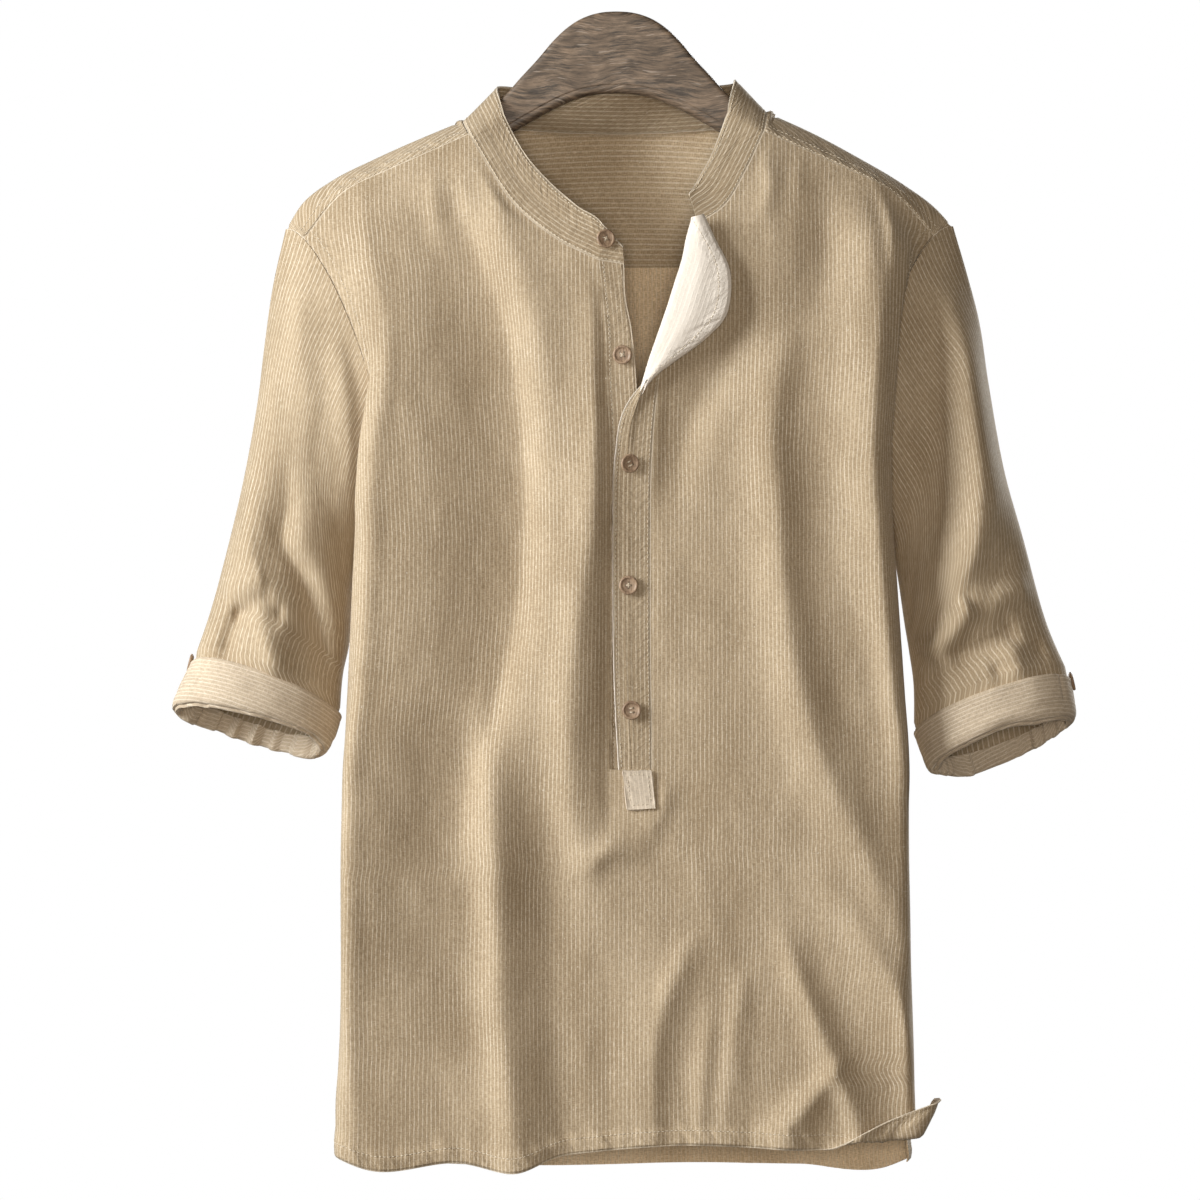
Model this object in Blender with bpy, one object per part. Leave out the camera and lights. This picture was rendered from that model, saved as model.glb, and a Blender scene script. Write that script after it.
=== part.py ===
"""Henley shirt with rolled sleeves, hanging on a flat wooden hanger.

Sizes and tables are in millimetres: X to the right, Y away from the viewer, Z up, and the
origin is the top of the hanger's crown. Each cloth piece is a sheet of points whose wall is
grown inwards; pieces that are sewn together share the points of their seam, so their walls
meet in a mitre, and every sewn edge is then drawn back by half the seam gap.
"""
import math

import bmesh
import bpy
import numpy as np

MM = 0.001
CLOTH = 1.2               # wall of a single panel
DOUBLE = 1.7              # wall of a band, placket or patch
SEAM_GAP = 0.3
MITRE_LIMIT = 1.6         # longest way in at a seam, in walls, where two pieces meet sharply
MITRE_CUT = 0.12          # below this spread of directions a seam counts as flat
UNDER_STEP = 2.2          # the under placket lies this far behind the front's surface
OPEN_END_Z = -270         # the placket is open down to here
BUTTON_DIAMETER = 13.0
BUTTON_THICKNESS = 2.6
BUTTON_RIM = 1.2          # width of its raised rim
BUTTON_EDGE = 0.9         # height of its widest place
BUTTON_DISH = 0.8         # its middle lies this far below the rim
BUTTON_SEGMENTS = 20

# The armhole is an ellipse-like ring: centre, half axis to the shoulder point, and how far
# the front and the back curve in towards the body at half depth. The columns are centre x, z,
# top dx, dz, front in, back in.
ARMHOLES = {
    "left": (-193.5, -251, -30.5, 103, 27, 12),
    "right": (200.5, -249, 27.5, 103, -29, -12),
}
ARMHOLE_DEPTH = 30
ARMHOLE_SCOOP = 3         # how soon the curve towards the body ends below half depth
FRONT_SEAM_ANGLE = 22     # degrees round the armhole from the shoulder point
BACK_SEAM_ANGLE = 46
FRONT_ARM_ROWS = 9
BACK_ARM_ROWS = 8

# Front rows from the shoulder seam to the underarm. The centre column runs down the neck
# seam to its corner and then down the placket slot. The columns are edge x, y, z, centre x, z
# and the panel's y.
ARM_ROWS = {
    "left": (
        (-182, -19, -122, -100, -85, -22),
        (-177, -29, -163, -72, -130, -33),
        (-172, -36, -188, -42, -156, -40),
        (-166, -40, -213, -13, -171, -44),
        (-165, -40, -240, -9, -216, -46),
        (-169, -38, -267, -8, -250, -46),
        (-173, -37, -292, -6, -284, -46),
        (-175, -36, -316, -5.5, -305, -46),
        (-176, -35, -333, -5, -328, -46),
        (-176, -34, -353, -5, -353, -46),
    ),
    "right": (
        (184, -19, -122, 100, -83, -22),
        (197, -27, -160, 88, -109, -33),
        (195, -33, -188, 74, -133, -39),
        (191, -38, -214, 55, -147, -43),
        (189, -38, -243, 43, -188, -46),
        (187, -37, -270, 35, -215, -46),
        (185, -36, -294, 30, -243, -46),
        (185, -36, -314, 26, -275, -46),
        (185, -35, -333, 23.5, -315, -46),
        (186, -34, -353, 23, -353, -46),
    ),
}
# Rows of the body below the underarm, down to the top of the hem strip. The columns are z,
# left seam x, left edge x, right seam x, right edge x, seam y, edge y, slot left x, right x.
BODY_ROWS = (
    (-392, -163, -178, 173, 189, 2, -33, -5, 23),
    (-430, -166, -180, 178, 192, 1, -31, -5, 23),
    (-468, -171, -182, 185, 195, 0, -28, -5, 23.5),
    (-491, -174, -183, 190, 197, -1, -25, -5, 24),
    (-514, -178, -184, 193, 197.5, -2, -23, -5, 24),
    (-541, -180, -184.5, 193.5, 197, -3, -22, -5, 25),
    (-575, -181, -185, 194, 197, -4, -21, -5, 25),
    (-610, -182, -185, 194, 197.5, -4, -20, -5, 25),
    (-645, -182, -185, 195, 198, -5, -20, -5, 25),
    (-680, -182, -185.5, 196, 199, -6, -20, -5, 25),
    (-713, -183, -187, 197, 200, -8, -21, -5, 25),
    (-738, -185, -189, 198.5, 201, -11, -23, -5, 25),
    (-760, -184, -189, 200, 202, -12, -24, -5, 25),
)
SLOT_BOTTOM_ROW = FRONT_ARM_ROWS + 5
NECK_CORNER_ROW = 3
VENT_ROW = FRONT_ARM_ROWS + 11
PANEL_Y = -46
ROLL_RUN = 22             # the side's rolled edge meets the flat panel after this run
ROLL_WIDTH = 20           # and this far in from the edge
ROLL_EASE = 0.5           # where it still lies this far behind the panel
BACK_Y = 40
BACK_TOP_Z = -172         # the back's seam with the yoke, at its middle
BACK_ARM_DROP = 181       # from there down to the underarm
BACK_WIDTH = 415
BACK_ROLL_ROWS = 3        # the back reaches its full roll this many rows below the yoke
BACK_REACH = (-8, 3)      # how far it rolls out past its seams, at the yoke and below
BACK_TURN_Y = (5, 17)     # and how far behind the seams the roll turns
BACK_TURN_IN = 26         # the roll meets the flat back this far in
BACK_TURN_EASE = 4
BACK_HALF_WAY = 0.45      # a control point part of the way to the middle
VENT_X = (-183, 198)

# The front's hem strip by x: its top z, its length, the degrees it is turned up, and its lean
# to the right.
FRONT_HEM = (
    (-190, -763, 12, 0, 0),
    (-168, -771, 12, 0, 0),
    (-106, -767, 12, 0, 0),
    (-66, -773, 12, 0, 0),
    (-40, -763, 12, 0, 0),
    (-11, -759, 12, 0, 0),
    (43, -755, 12, 0, 0),
    (104, -757, 12, 0, 0),
    (125, -760, 10, 0, 0),
    (140, -763, 7, 40, 0),
    (152, -762, 9, 130, 1),
    (168, -761, 16, 175, 4),
    (186, -759.5, 24, 178, 9),
    (202, -758, 31, 178, 16),
)
HEM_CURL = 9.0
HEM_STEPS = (0.14, 0.3, 0.6, 1.0)
BACK_VENT = ((-738, 1), (-762, 3), (-775, 4))   # height and depth of the back's vent edge
BACK_HEM = (
    (-190, -780), (-147, -785), (-59, -788), (57, -786), (125, -787), (186, -788), (205, -779),
)

# Folds of the front. Each runs down through rows of z, x of its crest, half width to the left
# and to the right of the crest, and height out of the panel; a negative height is a trough.
FRONT_FOLDS = (
    # The broad fold from the left shoulder, and the strong one that runs to the hem.
    ((-115, -168, 12, 14, 0), (-160, -160, 12, 18, 4), (-220, -148, 16, 20, 6),
     (-300, -138, 20, 22, 7), (-400, -130, 24, 18, 7), (-480, -134, 24, 18, 6.5),
     (-560, -150, 18, 22, 6), (-640, -165, 14, 24, 5.5), (-700, -165, 14, 26, 5),
     (-760, -160, 14, 24, 3), (-800, -155, 12, 20, 0)),
    ((-440, -80, 14, 14, 0), (-480, -84, 14, 14, 3), (-540, -86, 16, 14, 6),
     (-600, -85, 18, 15, 8), (-660, -82, 18, 17, 8), (-720, -76, 18, 18, 8),
     (-780, -68, 18, 20, 7.5), (-810, -66, 18, 20, 7)),
    # Beside the placket, and the hollow beside its open flap.
    ((-165, -22, 14, 12, 0), (-200, -24, 14, 12, 3), (-260, -24, 16, 12, 4.5),
     (-320, -26, 20, 12, 6), (-400, -33, 24, 18, 7), (-460, -33, 24, 20, 7),
     (-520, -32, 22, 20, 6), (-560, -28, 18, 16, 5), (-620, -22, 14, 14, 3),
     (-660, -20, 14, 14, 0)),
    ((-205, 92, 14, 14, 0), (-225, 80, 16, 14, -3), (-250, 65, 16, 14, -4.5),
     (-280, 53, 16, 14, -5), (-310, 46, 16, 14, -4), (-360, 42, 14, 14, 0)),
    # The long diagonal fold on the right, and the broad one above it.
    ((-200, 108, 14, 12, 0), (-240, 110, 14, 12, 3), (-300, 112, 16, 14, 5.5),
     (-350, 117, 18, 15, 7), (-400, 126, 20, 16, 8), (-440, 134, 20, 16, 8),
     (-480, 143, 20, 16, 8), (-510, 154, 20, 16, 7.5), (-540, 171, 18, 16, 6),
     (-565, 184, 16, 12, 3.5), (-600, 194, 12, 10, 0)),
    ((-120, 172, 14, 12, 0), (-160, 178, 18, 12, 3), (-200, 182, 22, 12, 5),
     (-260, 178, 26, 12, 6.5), (-300, 184, 26, 12, 6.5), (-360, 188, 22, 12, 5.5),
     (-440, 192, 16, 12, 3.5), (-520, 196, 12, 12, 2), (-560, 196, 12, 12, 0)),
    # The sharp diagonal fold at the lower right, the one below the placket, and the hem's flare.
    ((-612, 103, 12, 12, 0), (-640, 113, 12, 12, 3), (-670, 127, 12, 13, 5),
     (-700, 142, 12, 13, 6), (-730, 158, 12, 13, 5.5), (-757, 170, 12, 12, 3.5),
     (-780, 178, 12, 12, 0)),
    ((-622, 40, 14, 14, 0), (-650, 30, 14, 14, 3), (-680, 20, 14, 14, 4.5),
     (-720, 14, 14, 14, 5), (-770, 14, 14, 14, 4.5), (-810, 14, 14, 14, 4.5)),
    ((-712, 142, 12, 12, 0), (-728, 132, 12, 12, 2.5), (-742, 120, 12, 12, 4),
     (-757, 112, 14, 14, 5), (-772, 108, 14, 16, 5), (-800, 106, 14, 16, 4)),
)
FOLD_SHARPNESS = 1.8      # 2 is a bell, and less is more pointed
FOLD_FULL = 0.32          # a straight fold has its full height this far each way from its middle
FRONT_CALM = 0.12         # the folds fade in over this share of a front half, from its side
BACK_CALM = 0.08
CALM_ROWS = 2.0           # and over this many rows below the shoulder
# Folds of the back: top x, z, bottom x, z, sideways bow, half width and height.
BACK_FOLDS = (
    (-150, -230, -128, -640, 6, 17, 5.0),
    (-92, -300, -78, -800, -5, 16, 4.0),
    (-30, -190, -26, -800, 4, 18, -4.0),
    (24, -420, 40, -800, 0, 15, 4.5),
    (92, -210, 84, -640, -4, 18, 4.5),
    (150, -260, 128, -700, 5, 16, 4.0),
    (118, -560, 150, -800, 0, 14, -3.5),
)

# The shoulder ridge over the hanger, from the neck outwards.
RIDGE = {
    "left": ((-112, -77.5), (-135, -87), (-166, -101), (-192, -114), (-212, -129)),
    "right": ((110, -72), (128, -80), (164, -99), (196, -118), (215, -132)),
}
NECK_RIDGE = {"left": (-104, 0, -74), "right": (102, 0, -68)}
BACK_NECK = ((-97, 20, -74), (-75, 33, -77), (-40, 39, -79), (0, 41, -80),
             (40, 39, -79), (75, 33, -76), (97, 20, -72))
YOKE_PLACES = (0, 0.1, 0.2, 0.42, 0.7, 1)  # rows of the yoke down each of its columns
YOKE_ROLL = 0.48          # rise to the ridge from the neck in front of it, by its depth
YOKE_SPREAD = 1.035       # the yoke widens a little just below the back neck
SHOULDER_BEHIND = 21      # the yoke passes this far behind the ridge
SHOULDER_CLEAR = 3        # or this far behind its start, where that is further
SHOULDER_DROP = 13        # and this far below the ridge
NECK_SPAN = 97            # half width of the yoke's middle, below the back neck
SHOULDER_SEGMENTS = 14    # columns of each front half and of each shoulder of the yoke
NECK_SEGMENTS = 14
SLOT_SEGMENTS = 3         # columns across the placket slot
COLUMN_CROWDING = 1.25    # above 1 brings columns closer to the side's rolled edge

# Collar band: distance along the neck seam from the button end, and the rise x, y, z of the
# band's top edge from the seam there.
BAND_ROWS = (
    (0, -1, 1, 12), (7, -1, 3, 19), (19, 4, 4, 24), (52, 14, 5, 23), (84, 19, 6, 21),
    (114, 19, 6, 19), (150, 24, 5, 14), (163, 23.5, 1.5, 19), (176, 22, 2, 22),
    (198, 17, -7, 25), (224, 13, -9, 27), (260, 4, -9, 28), (300, 0, -9, 29), (340, -4, -9, 28),
    (376, -13, -9, 27), (402, -18, -7, 24), (426, -22, 2, 21), (439, -24, 1.5, 18),
    (452, -25, 5, 13), (486, -22, 7, 14), (508, -20, 6, 16), (533, -6, 5, 21),
)
BAND_STEPS = 3

# Under placket's free edge x, by height.
UNDER_FREE = ((-171, 5), (-196, 6), (-218, 10), (-250, 13), (-291, 14), (-400, 16), (-514, 14))
UNDER_PLACES = (0.16, 0.58, 1)    # its columns after the seam, by share of its width
UNDER_SAG = (0.6, 1.8, 3.0)       # drop of its top corner at those columns
UNDER_OPEN_SHARE = 0.3            # share of its step behind the front where the neck is open
OPEN_BLEND = 40                   # height over which it closes below the open part
# Over placket by the height of its stitched seam: x, z of its fold line and of the free edge
# of its open, turned-out top, and how far it stands off the panel.
OVER_ROWS = (
    (-147, 51.5, -143, 58, -141, 4.0),
    (-158, 48.0, -156, 66, -159, 6.5),
    (-172, 45.0, -171, 74, -175, 8.0),
    (-188, 40.0, -187, 76, -192, 9.0),
    (-203, 35.0, -203, 73, -208, 9.0),
    (-222, 28.5, -222, 62, -221, 8.0),
    (-243, 22.0, -241, 44, -235, 6.0),
    (-262, 17.0, -259, 23, -249, 4.5),
    (-284, 13.0, -280, 5, -272, 2.6),
    (-310, 11.0, -308, -1, -305, 0.8),
    (-353, 10.5, -353, -2.5, -353, 0.5),
    (-400, 10.5, -400, -2.5, -400, 0.5),
    (-468, 10.5, -468, -1, -468, 0.5),
    (-514, 12.0, -514, 1.5, -514, 0.5),
)
OVER_STEPS = 8
BOX_CORNERS = ((4, -514.8), (23.5, -514.6), (26, -540), (7, -541))
BOX_LIFT = 2.4
BOX_POINTS = 4            # across and down the patch
NEAREST_POINTS = 4        # points of the front that set the patch's depth

# Sleeves from the armhole to inside the cuff: outer x, z, inner x, z, middle y, half depth, and
# how much higher the front is than the back.
SLEEVE_ROWS = {
    "left": (
        (-224, -148, -163, -354, 0, 30, 0),
        (-233, -186, -175, -358, 7, 31, 1),
        (-239, -226, -177, -374, 11, 34, 2),
        (-244, -267, -179, -392, 11, 35, 3),
        (-253, -318, -181, -411, 8, 36, 5),
        (-264, -366, -183, -431, 5, 36, 7),
        (-275, -408, -187, -451, 0, 34, 9),
    ),
    "right": (
        (228, -146, 173, -352, 0, 30, 0),
        (239, -182, 188, -356, 7, 31, 1),
        (247, -213, 191, -374, 11, 34, 2),
        (253, -254, 194, -393, 11, 35, 3),
        (263, -311, 197, -415, 8, 36, 5),
        (276, -359, 200, -434, 5, 36, 7),
        (291, -415, 203, -458, 1, 34, 9),
    ),
}
SLEEVE_RINGS = 10
SLEEVE_RADIUS = 42        # turns the creases' half widths into turns round the sleeve
ARMHOLE_FADE_RINGS = 2.5  # the armhole's inward curve fades over the first rows of the table
CUFF_RINGS_INSIDE = (0.05, 0.5, 0.9)   # the sleeve's last rings, by their place down the cuff
CUFF_HOLD = 2.1           # the sleeve lies this far inside the cuff's outer face
# Creases of the sleeves: place along the sleeve and round it (degrees, 0 outer, 90 front)
# at both ends, half width and height.
SLEEVE_FOLDS = (
    (0.05, 60, 0.62, 105, 12, 4.0),
    (0.55, 30, 0.80, 140, 11, 4.0),
    (0.70, 40, 0.86, 120, 9, -3.5),
    (0.35, 110, 0.75, 150, 10, 3.0),
    (0.45, -40, 0.75, -130, 13, 3.5),
    (0.65, -60, 0.85, -120, 10, -3.0),
)

# Cuffs: the top and the bottom ring of the rolled cuff, with the sleeves' columns.
CUFF_RINGS = {
    "left": ((-287, -444, -189, -479, -5, 32, 12), (-300, -471, -196, -500, -8, 32, 13)),
    "right": ((308, -456, 203, -490, -4, 33, 13), (311, -480, 213, -515, -6, 33, 14)),
}
# Section of the rolled cuff: distance inwards from its outer face, and place from top to foot.
CUFF_SECTION = (
    (0.0, 0.0), (-0.8, 0.35), (-0.9, 0.7), (-0.3, 0.95), (1.2, 1.04), (3.6, 1.04),
    (5.0, 0.98), (5.0, 0.60), (3.9, 0.58), (3.8, 0.95), (1.5, 0.96), (1.4, 0.0),
)
CUFF_SEGMENTS = 24

# Hanger: half outline of the board, crown to arm end, then back along its underside.
HANGER_TOP = ((0, 0), (12, -1), (24, -5), (34, -11.5), (42, -19), (54, -33), (66, -46),
              (73, -54), (82, -63), (92, -72), (104, -81), (135, -92.5), (166, -105.5),
              (190, -118), (202, -128))
HANGER_UNDERSIDE = ((207, -136), (204, -146), (194, -151), (180, -148), (140, -126),
                    (100, -102), (72, -83), (54, -72.5), (37, -63.5), (20, -57.5), (0, -55.5))
HANGER_THICKNESS = 14
HANGER_ROUNDING = 5.0

# Buttons: name, centre x and z, the piece they lie on and how far they stand off it.
FRONT_BUTTONS = (
    ("button_band", -8, -157, "collar_band", 1.7),
    ("button_1", 4, -235, "under_placket", 0.5),
    ("button_2", 8.5, -308, "over_placket", 0.5),
    ("button_3", 8, -390, "over_placket", 0.5),
    ("button_4", 10, -474, "over_placket", 0.5),
)
# Buttons of the cuffs: name, side, turn round the cuff in degrees, how far they stand off it.
CUFF_BUTTON_RISE = 1.0
CUFF_BUTTON_TILT = 0.25   # rise of the button's facing for each millimetre outwards
CUFF_BUTTONS = (
    ("button_cuff_left", "left", -3.0, 1.4),
    ("button_cuff_right", "right", -3.0, 0.4),
)

CLOTH_COLOUR = (0.43, 0.33, 0.21)
COLOURS = {
    "front": CLOTH_COLOUR, "back": CLOTH_COLOUR, "yoke": CLOTH_COLOUR,
    "sleeve": CLOTH_COLOUR, "cuff": (0.50, 0.40, 0.27), "band": (0.45, 0.35, 0.22),
    "placket": (0.48, 0.38, 0.25), "button": (0.33, 0.22, 0.12), "wood": (0.19, 0.14, 0.10),
}


def smooth(knots, values, at):
    """Values at the places asked for, on a cubic through a table's rows."""
    knots = np.asarray(knots, float)
    values = np.asarray(values, float)
    slopes = np.gradient(values, knots, axis=0)
    at = np.clip(np.atleast_1d(np.asarray(at, float)), knots[0], knots[-1])
    row = np.clip(np.searchsorted(knots, at, side="right") - 1, 0, len(knots) - 2)
    span = knots[row + 1] - knots[row]
    t = (at - knots[row]) / span
    if values.ndim > 1:
        extra = (slice(None),) + (None,) * (values.ndim - 1)
        span, t = span[extra], t[extra]
    return ((2 * t**3 - 3 * t**2 + 1) * values[row] + (t**3 - 2 * t**2 + t) * span * slopes[row]
            + (3 * t**2 - 2 * t**3) * values[row + 1] + (t**3 - t**2) * span * slopes[row + 1])


def along(points, fractions):
    """Points at fractions of the length of a smooth curve through the given points."""
    points = np.asarray(points, float)
    steps = np.linalg.norm(np.diff(points, axis=0), axis=1)
    knots = np.concatenate(([0.0], np.cumsum(steps)))
    return smooth(knots / knots[-1], points, fractions)


def path_folds(folds, x, z):
    """How far folds that run down through rows push the surface out at x, z."""
    depth = np.zeros_like(x)
    down = -z.ravel()
    for fold in folds:
        rows = np.array(fold, float)
        crest, left_width, right_width, height = smooth(-rows[:, 0], rows[:, 1:], down).T
        ahead = smooth(-rows[:, 0], rows[:, 1], down + 1.0)
        aside = (crest - x.ravel()) / np.hypot(1, ahead - crest)
        width = np.where(aside > 0, left_width, right_width)
        inside = (down >= -rows[0, 0]) & (down <= -rows[-1, 0])
        bump = height * np.exp(-np.abs(aside / width) ** FOLD_SHARPNESS)
        depth += np.where(inside, bump, 0).reshape(x.shape)
    return depth


def straight_folds(folds, x, z):
    """How far straight folds push the surface out at x, z."""
    depth = np.zeros_like(x)
    for top_x, top_z, bottom_x, bottom_z, bow, half_width, height in folds:
        length = math.hypot(bottom_x - top_x, bottom_z - top_z)
        run_x, run_z = (bottom_x - top_x) / length, (bottom_z - top_z) / length
        down = (x - top_x) * run_x + (z - top_z) * run_z
        place = np.clip(down / length, 0, 1)
        aside = (x - top_x) * run_z - (z - top_z) * run_x + bow * np.sin(math.pi * place)
        beyond = np.maximum(np.abs(down - length / 2) - FOLD_FULL * length, 0)
        taper = np.clip(1 - beyond / ((0.5 - FOLD_FULL) * length), 0, 1)
        taper = taper * taper * (3 - 2 * taper)
        depth += height * taper * np.exp(-(aside / half_width) ** 2)
    return depth


def armhole_point(side, degrees):
    """Point of the armhole, by its angle from the shoulder point; the back is negative."""
    centre_x, centre_z, top_dx, top_dz, front_in, back_in = ARMHOLES[side]
    across, out = math.cos(math.radians(degrees)), math.sin(math.radians(abs(degrees)))
    inwards = front_in if degrees > 0 else back_in
    depth = -ARMHOLE_DEPTH if degrees > 0 else ARMHOLE_DEPTH
    scoop = out ** ARMHOLE_SCOOP if across < 0 else out
    return (centre_x + across * top_dx + scoop * inwards, out * depth, centre_z + across * top_dz)


def front_controls(side):
    """Rows of six control points for one front half, from the side in to the centre."""
    inward = 1 if side == "left" else -1
    rows = []
    for index, row in enumerate(ARM_ROWS[side]):
        edge_x, edge_y, edge_z, centre_x, centre_z, plane_y = row
        share = index / FRONT_ARM_ROWS
        seam = armhole_point(side, FRONT_SEAM_ANGLE + (180 - FRONT_SEAM_ANGLE) * share)
        rows.append((seam, (edge_x, edge_y, edge_z), (centre_x, plane_y, centre_z)))
    for row in BODY_ROWS:
        z, left_seam, left_edge, right_seam, right_edge, seam_y, edge_y, left, right = row
        seam_x, edge_x, centre_x = (
            (left_seam, left_edge, left) if side == "left" else (right_seam, right_edge, right))
        rows.append(((seam_x, seam_y, z), (edge_x, edge_y, z), (centre_x, PANEL_Y, z)))
    controls = []
    for index, (seam, edge, centre) in enumerate(rows):
        edge, centre = np.array(edge, float), np.array(centre, float)
        roll = ROLL_RUN / abs(centre[0] - edge[0])
        panel = edge + (centre - edge) * roll
        panel[0] = edge[0] + inward * ROLL_WIDTH
        panel[1] = centre[1] + (ROLL_EASE if index else 2 * ROLL_EASE)
        thirds = [panel + (centre - panel) * part for part in (0.33, 0.66)]
        controls.append([np.array(seam, float), edge, panel, *thirds, centre])
    return np.array(controls)


def column_fractions():
    """Fractions across a front half, closer together at its side."""
    return np.linspace(0, 1, SHOULDER_SEGMENTS + 1) ** COLUMN_CROWDING


def front_half(side):
    """Grid of points of one front half: rows from the shoulder seam down to the hem edge."""
    controls = front_controls(side)
    fractions = column_fractions()
    grid = np.array([along(row, fractions) for row in controls])
    calm_side = np.clip(fractions / FRONT_CALM, 0, 1)
    calm_top = np.clip(np.arange(len(grid)) / CALM_ROWS, 0, 1)[:, None]
    grid[:, :, 1] -= calm_side * calm_top * path_folds(FRONT_FOLDS, grid[:, :, 0], grid[:, :, 2])
    hem = np.array(FRONT_HEM, float)
    last = grid[-1]
    top_z, length, turn, lean = smooth(hem[:, 0], hem[:, 1:], last[:, 0]).T
    last[:, 2] = top_z
    radius = HEM_CURL / np.maximum(np.radians(np.clip(turn, 0, 180)), 1e-3)
    strip = []
    for step in HEM_STEPS:
        run = length * step
        bent = np.minimum(run, HEM_CURL)
        angle = bent / radius
        rest = run - bent
        row = last.copy()
        row[:, 0] += lean * step
        row[:, 1] -= radius * (1 - np.cos(angle)) + rest * np.sin(angle)
        row[:, 2] -= radius * np.sin(angle) + rest * np.cos(angle)
        strip.append(row)
    return np.concatenate((grid, strip))


def back_grid(front_left, front_right):
    """Grid of the back, from the photo's left to its right, sharing the fronts' side seams."""
    rows = []
    for index in range(BACK_ARM_ROWS + 1):
        degrees = -(BACK_SEAM_ANGLE + (180 - BACK_SEAM_ANGLE) * index / BACK_ARM_ROWS)
        z = BACK_TOP_Z - BACK_ARM_DROP * index / BACK_ARM_ROWS
        rows.append((armhole_point("left", degrees), armhole_point("right", degrees), z))
    for row in range(FRONT_ARM_ROWS + 1, VENT_ROW + 1):
        z = BODY_ROWS[row - FRONT_ARM_ROWS - 1][0]
        rows.append((front_left[row, 0], front_right[row, 0], z))
    for z, vent_y in BACK_VENT:
        rows.append(((VENT_X[0], vent_y, z), (VENT_X[1], vent_y, z), z))
    mid = 2 * NECK_SPAN / BACK_WIDTH
    fractions = np.concatenate((
        np.linspace(0, (1 - mid) / 2, SHOULDER_SEGMENTS + 1),
        np.linspace((1 - mid) / 2, (1 + mid) / 2, NECK_SEGMENTS + 1)[1:],
        np.linspace((1 + mid) / 2, 1, SHOULDER_SEGMENTS + 1)[1:]))
    grid = []
    for index, (left, right, z) in enumerate(rows):
        left, right = np.array(left, float), np.array(right, float)
        # Below the yoke the back soon rolls out past its armhole and side seams.
        rolled = min(index / BACK_ROLL_ROWS, 1)
        reach = BACK_REACH[1] * rolled + BACK_REACH[0] * (1 - rolled)
        turn_y = BACK_TURN_Y[1] * rolled + BACK_TURN_Y[0] * (1 - rolled)
        eased_y = BACK_Y - BACK_TURN_EASE
        controls = [left, left + (-reach, turn_y, 0),
                    (left[0] + BACK_TURN_IN, eased_y, (left[2] + z) / 2),
                    (left[0] * BACK_HALF_WAY, BACK_Y, z), (0, BACK_Y, z),
                    (right[0] * BACK_HALF_WAY, BACK_Y, z),
                    (right[0] - BACK_TURN_IN, eased_y, (right[2] + z) / 2),
                    right + (reach, turn_y, 0), right]
        grid.append(along(controls, fractions))
    grid = np.array(grid)
    calm = np.clip(np.minimum(fractions, 1 - fractions) / BACK_CALM, 0, 1)
    calm_top = np.clip(np.arange(len(grid)) / CALM_ROWS, 0, 1)[:, None]
    grid[:, :, 1] += calm * calm_top * straight_folds(BACK_FOLDS, grid[:, :, 0], grid[:, :, 2])
    hem = np.array(BACK_HEM, float)
    grid[-1, :, 2] = smooth(hem[:, 0], hem[:, 1], grid[-1, :, 0])
    return grid


def yoke_grid(front_left, front_right, back):
    """Grid of the yoke: front seam, over the ridge, down to the back yoke seam."""
    left_front, right_front = front_left[0], front_right[0][::-1]
    neck = [left_front[-1], NECK_RIDGE["left"], *BACK_NECK, NECK_RIDGE["right"], right_front[0]]
    neck = along(neck, np.linspace(0, 1, NECK_SEGMENTS + 1))
    top = np.concatenate((left_front, neck[1:-1], right_front))
    ridge_left = [armhole_point("left", 0)] + [(x, 0, z) for x, z in RIDGE["left"][::-1]]
    ridge_right = [(x, 0, z) for x, z in RIDGE["right"]] + [armhole_point("right", 0)]
    ridge_left = along(ridge_left, column_fractions())
    ridge_right = along(ridge_right, 1 - column_fractions()[::-1])
    foot = back[0]
    columns = []
    last = len(top) - 1
    for index in range(last + 1):
        start, end = top[index], foot[index]
        if index in (0, last):
            side = "left" if index == 0 else "right"
            angles = (FRONT_SEAM_ANGLE / 2, 0, -BACK_SEAM_ANGLE / 3, -BACK_SEAM_ANGLE * 2 / 3)
            columns.append([start, *(armhole_point(side, a) for a in angles), end])
            continue
        if index <= SHOULDER_SEGMENTS:
            ridge = ridge_left[index]
        elif index >= last - SHOULDER_SEGMENTS:
            ridge = ridge_right[index - last + SHOULDER_SEGMENTS]
        else:
            rise = max(-start[1], 0) * YOKE_ROLL
            ridge = np.array((start[0] * YOKE_SPREAD, max(start[1] + 1, 1), start[2] + rise - 1))
        behind = max(start[1] + SHOULDER_CLEAR, SHOULDER_BEHIND)
        shoulder = np.array((ridge[0], behind, ridge[2] - SHOULDER_DROP))
        curve = [start, ridge, shoulder, end]
        columns.append(along(curve, YOKE_PLACES))
    return np.array(columns).transpose(1, 0, 2)


def band_grid(front_left, front_right, yoke, under):
    """Grid of the collar band, up from the neck seam, from the button end round the neck."""
    down_left = front_left[:NECK_CORNER_ROW + 1, -1][::-1]
    neck = yoke[0, SHOULDER_SEGMENTS + 1:-SHOULDER_SEGMENTS - 1]
    down_right = front_right[:NECK_CORNER_ROW + 1, -1]
    seam = np.concatenate((under[0][::-1], down_left[1:], neck, down_right))
    steps = np.linalg.norm(np.diff(seam, axis=0), axis=1)
    distance = np.concatenate(([0.0], np.cumsum(steps)))
    table = np.array(BAND_ROWS, float)
    rise = smooth(table[:, 0] * distance[-1] / table[-1, 0], table[:, 1:], distance)
    return np.array([seam + rise * step / BAND_STEPS for step in range(BAND_STEPS + 1)])


def slot_edges(front_left, front_right):
    """Points of the two sides of the placket slot, from the neck down."""
    rows = slice(NECK_CORNER_ROW, SLOT_BOTTOM_ROW + 1)
    return front_left[rows, -1], front_right[rows, -1]


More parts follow.
